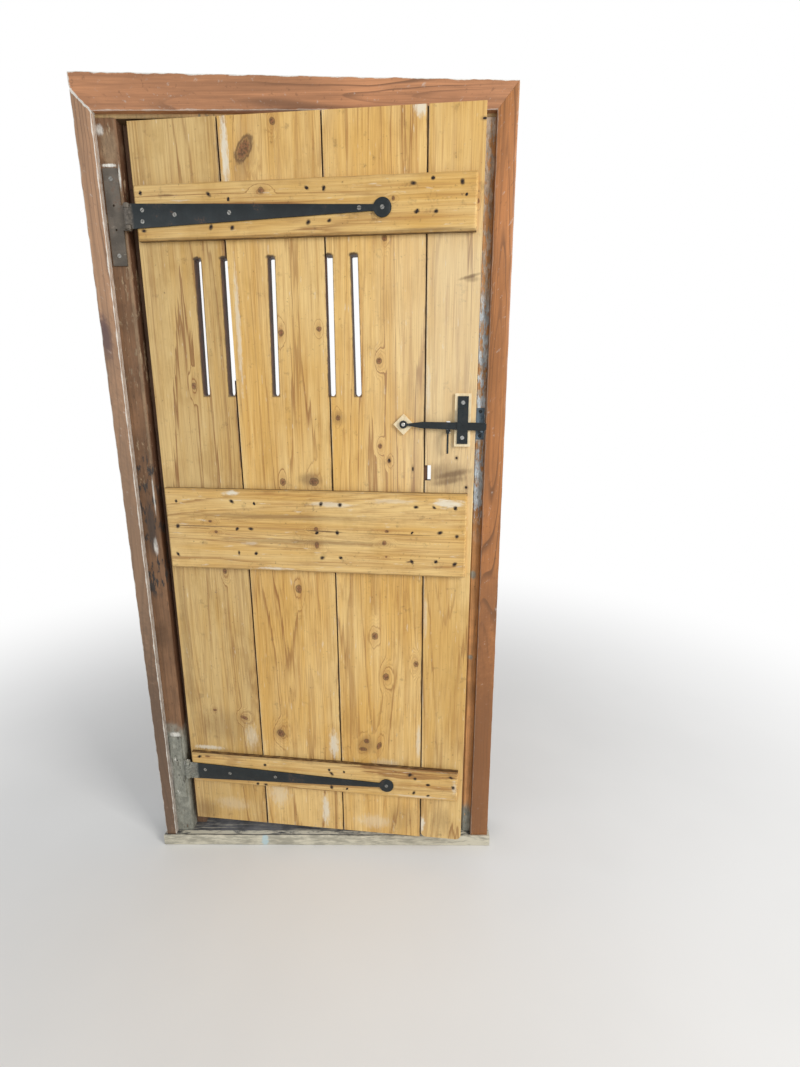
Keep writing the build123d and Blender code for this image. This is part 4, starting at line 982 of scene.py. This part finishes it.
class DOOR_OT_frame(Step, bpy.types.Operator):
    """Carry worn sections for the hinge jamb and the sill, and paint the rest of the frame"""
    bl_idname = "plank_door.frame_timbers"
    bl_label = "Jambs, head, stops and sill"

    def build(self, scene):
        look = scene.door_frame
        low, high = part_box("jamb_left")
        jamb = wall_board("jamb_left_timber", ((low.x, low.z), (high.x, low.z)),
                          ((low.x, high.z), (high.x, high.z)), high.y, high.y - low.y, 0.0042, 0.0009, 41)
        # The jamb's inner side face, behind its front, is darkened as painted shade
        old = layered_paint("old_jamb_timber", look.jamb, (
            (scaled(look.bare, 0.72), 0.36, 1.16, 2.1, (-428, 1500, 5, 600, 0.5), (-445, 1910, 26, 50, 0.7)),
            (look.soot, 0.50, 0.86, 1.18, (-446, 1010, 14, 90, 0.7)),
            (look.grey, 1.05, -0.2, 0.365),
            (look.white, 0.0, 0, 1, (-450, 1874, 20, 5, 1.0), (-427, 1850, 3, 34, 0.9),
             (-462, 1945, 12, 16, 0.8), (-430, 1100, 3, 60, 0.7), (-440, 960, 7, 30, 0.6),
             (-446, 370, 20, 14, 0.8), (-465, 250, 5, 90, 0.8))), 2.2, inside=look.reveal)
        # Over the orange timber: pale cream, a pale blue-white band at the catch's height, dark blue-grey,
        # and grey low down
        peeling = layered_paint("peeling_latch_jamb", look.latch_jamb, (
            (shade(206, 184, 160), 0.62, 1.02, 2.1),
            (shade(216, 226, 232), 0.66, 1.04, 1.56),
            (shade(52, 60, 70), 0.26, 1.04, 1.40),
            (look.grey, 1.0, -0.2, 0.10, (430, 877, 12, 16, 0.9), (430, 629, 12, 10, 0.8))), 5.1)
        # The head's underside is darkened as painted shade
        pale = layered_paint("pale_frame_head", look.head_timber, ((look.grey, 0.25, 1.9, 2.1),), 7.0,
                             inside=scaled(look.reveal, 0.5))
        dull = layered_paint("dull_stop_timber", scaled(look.stop, 0.62), (
            (look.bare, 0.2, 1.6, 2.1), (scaled(look.reveal, 0.8), 0.2, 0.0, 1.6)), 9.0)
        # The head stop is made near black: painted shade of the narrow gap above the leaf
        dark = layered_paint("painted_shade_stop_head", scaled(look.reveal, 0.3), (), 9.5)
        placed("jamb_left_timber", jamb, old, "frame", "jamb_left")
        for node, finish in (("jamb_right", peeling), ("frame_head", pale), ("stop_left", dull),
                             ("stop_right", dull), ("stop_head", dark)):
            eased(node, 0.0012, finish)
        placed("worn_sill", self.sill(), self.sill_paint(look), "frame", "sill")

    def sill(self):
        """Sill: a section with a rounded nose carried along X, its edge dipping where feet wore it."""
        low, high = SILL_LOW, SILL_HIGH
        x = np.linspace(low.x, high.x, SILL_STEPS)
        trodden = x - 0.12
        dip = 0.0006 + 0.0012 * np.exp(-(trodden / 0.24) ** 2) + 0.0005 * np.abs(wander(x, 51, 0.21))
        nose = 0.0040 + 0.0020 * np.abs(wander(x, 52, 0.13)) + 0.0015 * np.exp(-(trodden / 0.2) ** 2)
        front = (low.y + 0.0006 * (1 + wander(x, 53, 0.19)))[:, None]
        angle = np.linspace(0, pi / 2, 7)[None, :]
        arc_y = front + nose[:, None] * (1 - np.cos(angle))
        arc_z = high.z - nose[:, None] * (1 - np.sin(angle))
        deep = np.array((0.012, 0.024, 0.05, 0.08))[None, :]
        worn = np.exp(-((deep - 0.01) / 0.03) ** 2) * dip[:, None]
        one = np.ones_like(x)[:, None]
        ys = np.concatenate((front + 0.002, front, front, arc_y, front + deep, one * high.y, one * high.y), 1)
        zs = np.concatenate((one * low.z, one * (low.z + 0.002), one * (low.z + 0.015), arc_z,
                             high.z - worn, one * high.z, one * low.z), 1)
        return closed_mesh("worn_sill", np.stack((np.broadcast_to(x[:, None], ys.shape), ys, zs), -1))

    def sill_paint(self, look):
        """Cream paint on the nose, and dark scratched paint on the tread behind it, darkened also as painted
        shade from the leaf.
        """
        coat = Finish("worn_cream_sill")
        x, y, _ = coat.parts(coat.place)
        fine = coat.cloud(coat.place, (22.0, 70.0, 110.0), 5.0, 0.7)
        scratch = coat.cloud(coat.place, (9.0, 160.0, 160.0), 4.0, 0.7, (3, 0, 0))
        cloud = coat.noise(coat.place, 12.0, 4.0, 0.65)
        # The tread's dark paint is partly painted shade cast by the leaf
        coat.tint = coat.mottled(cloud, 0.35, 0.66, look.tread, 0.55, 1.5)
        coat.tone(scratch, 0.52, 0.66, 0.75, scaled(look.sill, 0.8))
        tread = coat.tint
        coat.tint = coat.mottled(fine, 0.38, 0.64, look.sill, 0.62, 1.08)
        coat.tone(scratch, 0.58, 0.72, 0.6, scaled(look.sill, 0.35))
        blue = coat.patch(coat.spot(coat.place, -192, 18, 14, 26), fine, 1.4, 1.2, 1.7, 0.9)
        coat.over(blue, shade(188, 210, 214))
        edge = coat.scaled_sum(cloud, 0.010, coat.sum("SUBTRACT", y, SILL_LOW.y))
        coat.over(coat.ease(edge, 0.0095, 0.0125), tread)
        coat.over(coat.times(coat.window(edge, 0.0105, 0.0125, 0.0012), 0.8), scaled(look.tread, 0.25))
        pale_edge = coat.window(edge, 0.0160, 0.0260, 0.004)
        coat.over(coat.times(pale_edge, coat.ease(fine, 0.40, 0.56)), look.sill)
        right = coat.times(coat.ease(x, 0.18, 0.44, 0.0, 0.85), coat.ease(fine, 0.36, 0.52))
        coat.over(coat.times(right, coat.ease(edge, 0.07, 0.03)), scaled(look.sill, 1.02))
        rough = coat.ease(fine, 0.3, 0.7, 0.5, 0.72)
        return coat.done(rough, coat.plus(fine, scratch), 0.0006, shine=0.35)


class DOOR_OT_hinges(Step, bpy.types.Operator):
    """Roll the tapered straps round their pins and finish the plates, pins and screws"""
    bl_idname = "plank_door.hinges"
    bl_label = "Tee hinges"

    def build(self, scene):
        look, paint = scene.door_iron, scene.door_frame
        rust = shade(92, 66, 50)
        bare = iron("bare_hinge_iron", look.plate, shade(120, 92, 74), 0.35, 0.55, 4.0, 0.42)
        painted = layered_paint("painted_over_plate", shade(92, 84, 76), (
            (paint.grey, 0.85, -1, 3), (paint.white, 0.3, -1, 3)), 3.3)
        upper = iron("blacked_strap_iron", look.black, rust, 0.2, 0.40, 1.0, 0.24, 0.15,
                     root=look.plate, root_end=-0.404)
        lower = iron("painted_root_strap_iron", look.black, rust, 0.2, 0.45, 5.0, 0.26, 0.12,
                     root=scaled(paint.grey, 0.8), root_end=-0.384)
        worn = iron("worn_screw_steel", look.steel, shade(96, 70, 54), 0.6, 0.38, 6.0, 0.5)
        for name, strap_finish, plate_finish, screws in (
                ("upper", upper, bare, worn), ("lower", lower, painted, painted)):
            mesh = strap_mesh(f"{name}_rolled_strap", STRAPS[name], 61)
            placed(f"{name}_rolled_strap", mesh, strap_finish, "leaf", f"{name}_hinge_strap")
            eased(f"{name}_hinge_plate", look.edge, plate_finish)
            dress(f"{name}_hinge_pin", plate_finish)
            dress(f"{name}_plate_screws", screws)
            dress(f"{name}_strap_screws", worn)


class DOOR_OT_latch(Step, bpy.types.Operator):
    """Round and finish the bar, guard, catch, lever, handle, pads and their screws"""
    bl_idname = "plank_door.latch"
    bl_label = "Latch and handle"

    def build(self, scene):
        look = scene.door_iron
        black = iron("blacked_latch_iron", look.black, shade(80, 60, 48), 0.25, 0.34, 9.0, 0.2, 0.25)
        grey = iron("blue_grey_catch_iron", look.catch, shade(70, 62, 60), 0.5, 0.45, 11.0, 0.5)
        bright = iron("bright_screw_steel", look.bright, shade(150, 140, 128), 0.9, 0.22, 12.0, 0.1)
        pale = self.bare_pine(scene.door_pine)
        for node in ("pivot_pad", "guard_pad"):
            eased(node, 0.0012, pale, 3)
        for node in ("latch_bar", "latch_guard", "thumb_lever"):
            eased(node, look.edge, black)
        for node in ("outside_handle", "handle_screws", "thumb_pivot_pin", "catch_screws"):
            dress(node, black)
        eased("latch_catch", 0.0005, grey)
        for node in ("guard_screws", "latch_pivot_screw"):
            dress(node, bright)

    def bare_pine(self, look):
        """Pale unwaxed pine with fine upright grain."""
        pad = Finish("bare_pale_pad")
        leaf = pad.leaf_place()
        fibre = pad.cloud(leaf, (210.0, 210.0, 20.0), 3.0)
        pad.tint = look.pad
        pad.tone(fibre, 0.35, 0.7, 0.55, scaled(look.pad, 0.70))
        pad.tone(pad.noise(leaf, 60.0, 3.0), 0.5, 0.75, 0.35, scaled(look.honey, 0.9))
        return pad.done(0.6, fibre, 0.0004)


class DOOR_OT_stage(Step, bpy.types.Operator):
    """Lay the floor, set the soft lights and stand the camera where the picture was taken"""
    bl_idname = "plank_door.stage"
    bl_label = "Floor, light and camera"

    def build(self, scene):
        look = scene.door_stage
        scene.view_settings.view_transform = "Standard"
        self.floor(look)
        self.sky(scene, look)
        self.lamp("window_light", (2.6, -2.3, 2.4), (-0.05, 0.0, 1.0), (1.2, 1.7), look.key,
                  (1.0, 0.985, 0.96))
        self.lamp("left_fill", (-2.2, -2.4, 1.7), (0.0, 0.0, 1.0), (2.0, 2.4), look.fill, (0.95, 0.98, 1.0))
        lens = bpy.data.cameras.new("photo_camera")
        lens.sensor_fit = "VERTICAL"
        lens.sensor_height = 36.0
        lens.lens = look.focal * lens.sensor_height
        lens.clip_start = 0.02
        scene.camera = stood("photo_camera", lens)
        scene.camera.location = look.camera
        scene.camera.rotation_euler = (pi / 2 - look.pitch, 0.0, -look.yaw)

    def floor(self, look, half=9.0):
        """Flat square of pale floor, which turns white to the eye far from the door."""
        corners = [(x * half, y * half, 0) for x, y in ((-1, -1), (1, -1), (1, 1), (-1, 1))]
        mesh = bpy.data.meshes.new("pale_floor")
        mesh.from_pydata(corners, [], [(0, 1, 2, 3)])
        surface = Finish("pale_floor")
        cloud = surface.noise(surface.place, 1.4, 3.0)
        tint = surface.mottled(cloud, 0.3, 0.7, look.floor, 0.98, 1.02)
        ground = surface.add("ShaderNodeBsdfDiffuse", {"Color": tint})
        white = surface.add("ShaderNodeEmission", {"Color": (1.0, 1.0, 1.0), "Strength": 1.0})
        rays = surface.add("ShaderNodeLightPath").outputs
        seen = surface.most(rays["Is Camera Ray"], rays["Is Glossy Ray"])
        seen = surface.most(seen, rays["Is Transmission Ray"])
        far = surface.ease(surface.reach(surface.place), 0.7, 3.0)
        surface.blend("ShaderNodeOutputMaterial", surface.times(seen, far), ground, white)
        mesh.materials.append(surface.material)
        stood("pale_floor", mesh)

    def sky(self, scene, look):
        """White to the eye, plain soft light to everything else."""
        scene.world = bpy.data.worlds.new("plain_white")
        air = Nodes(scene.world)
        rays = air.add("ShaderNodeLightPath").outputs
        seen = air.sum("MAXIMUM", rays["Is Camera Ray"], rays["Is Transmission Ray"])
        soft, white = (air.add("ShaderNodeBackground", {"Color": tint, "Strength": strength})
                       for tint, strength in (((0.95, 0.97, 1.0), look.sky), ((1.0, 1.0, 1.0), 1.0)))
        air.blend("ShaderNodeOutputWorld", seen, soft, white)

    def lamp(self, name, place, target, size, power, tint):
        """Soft rectangular lamp aimed at a point."""
        lamp = bpy.data.lights.new(name, "AREA")
        lamp.shape = "RECTANGLE"
        lamp.size, lamp.size_y = size
        lamp.energy = power
        lamp.color = tint
        holder = stood(name, lamp)
        holder.location = place
        holder.rotation_euler = (Vector(target) - Vector(place)).to_track_quat("-Z", "Y").to_euler()


OPERATORS = (DOOR_OT_planks, DOOR_OT_ledges, DOOR_OT_architraves, DOOR_OT_frame, DOOR_OT_hinges,
             DOOR_OT_latch, DOOR_OT_stage)
LOOKS = (("door_pine", PineLook), ("door_frame", FrameLook), ("door_iron", IronLook),
         ("door_stage", StageLook))


class DOOR_PT_panel(bpy.types.Panel):
    """Steps of the door, in the order in which they are run"""
    bl_idname = "DOOR_PT_panel"
    bl_label = "Plank door"
    bl_space_type = "VIEW_3D"
    bl_region_type = "UI"
    bl_category = "Plank door"

    def draw(self, context):
        for step in OPERATORS:
            self.layout.operator(step.bl_idname)
        for key, look in LOOKS:
            box = self.layout.box()
            for value in look.__annotations__:
                box.prop(getattr(context.scene, key), value)


def register():
    for key, look in LOOKS:
        bpy.utils.register_class(look)
        setattr(bpy.types.Scene, key, bpy.props.PointerProperty(type=look))
    for step in (*OPERATORS, DOOR_PT_panel):
        bpy.utils.register_class(step)


def unregister():
    for step in (DOOR_PT_panel, *reversed(OPERATORS)):
        bpy.utils.unregister_class(step)
    for key, look in reversed(LOOKS):
        delattr(bpy.types.Scene, key)
        bpy.utils.unregister_class(look)


def main():
    """Build everything in order."""
    register()
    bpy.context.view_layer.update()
    bpy.ops.plank_door.planks()
    bpy.ops.plank_door.ledges()
    bpy.ops.plank_door.architraves()
    bpy.ops.plank_door.frame_timbers()
    bpy.ops.plank_door.hinges()
    bpy.ops.plank_door.latch()
    bpy.ops.plank_door.stage()


if __name__ == "__main__":
    main()
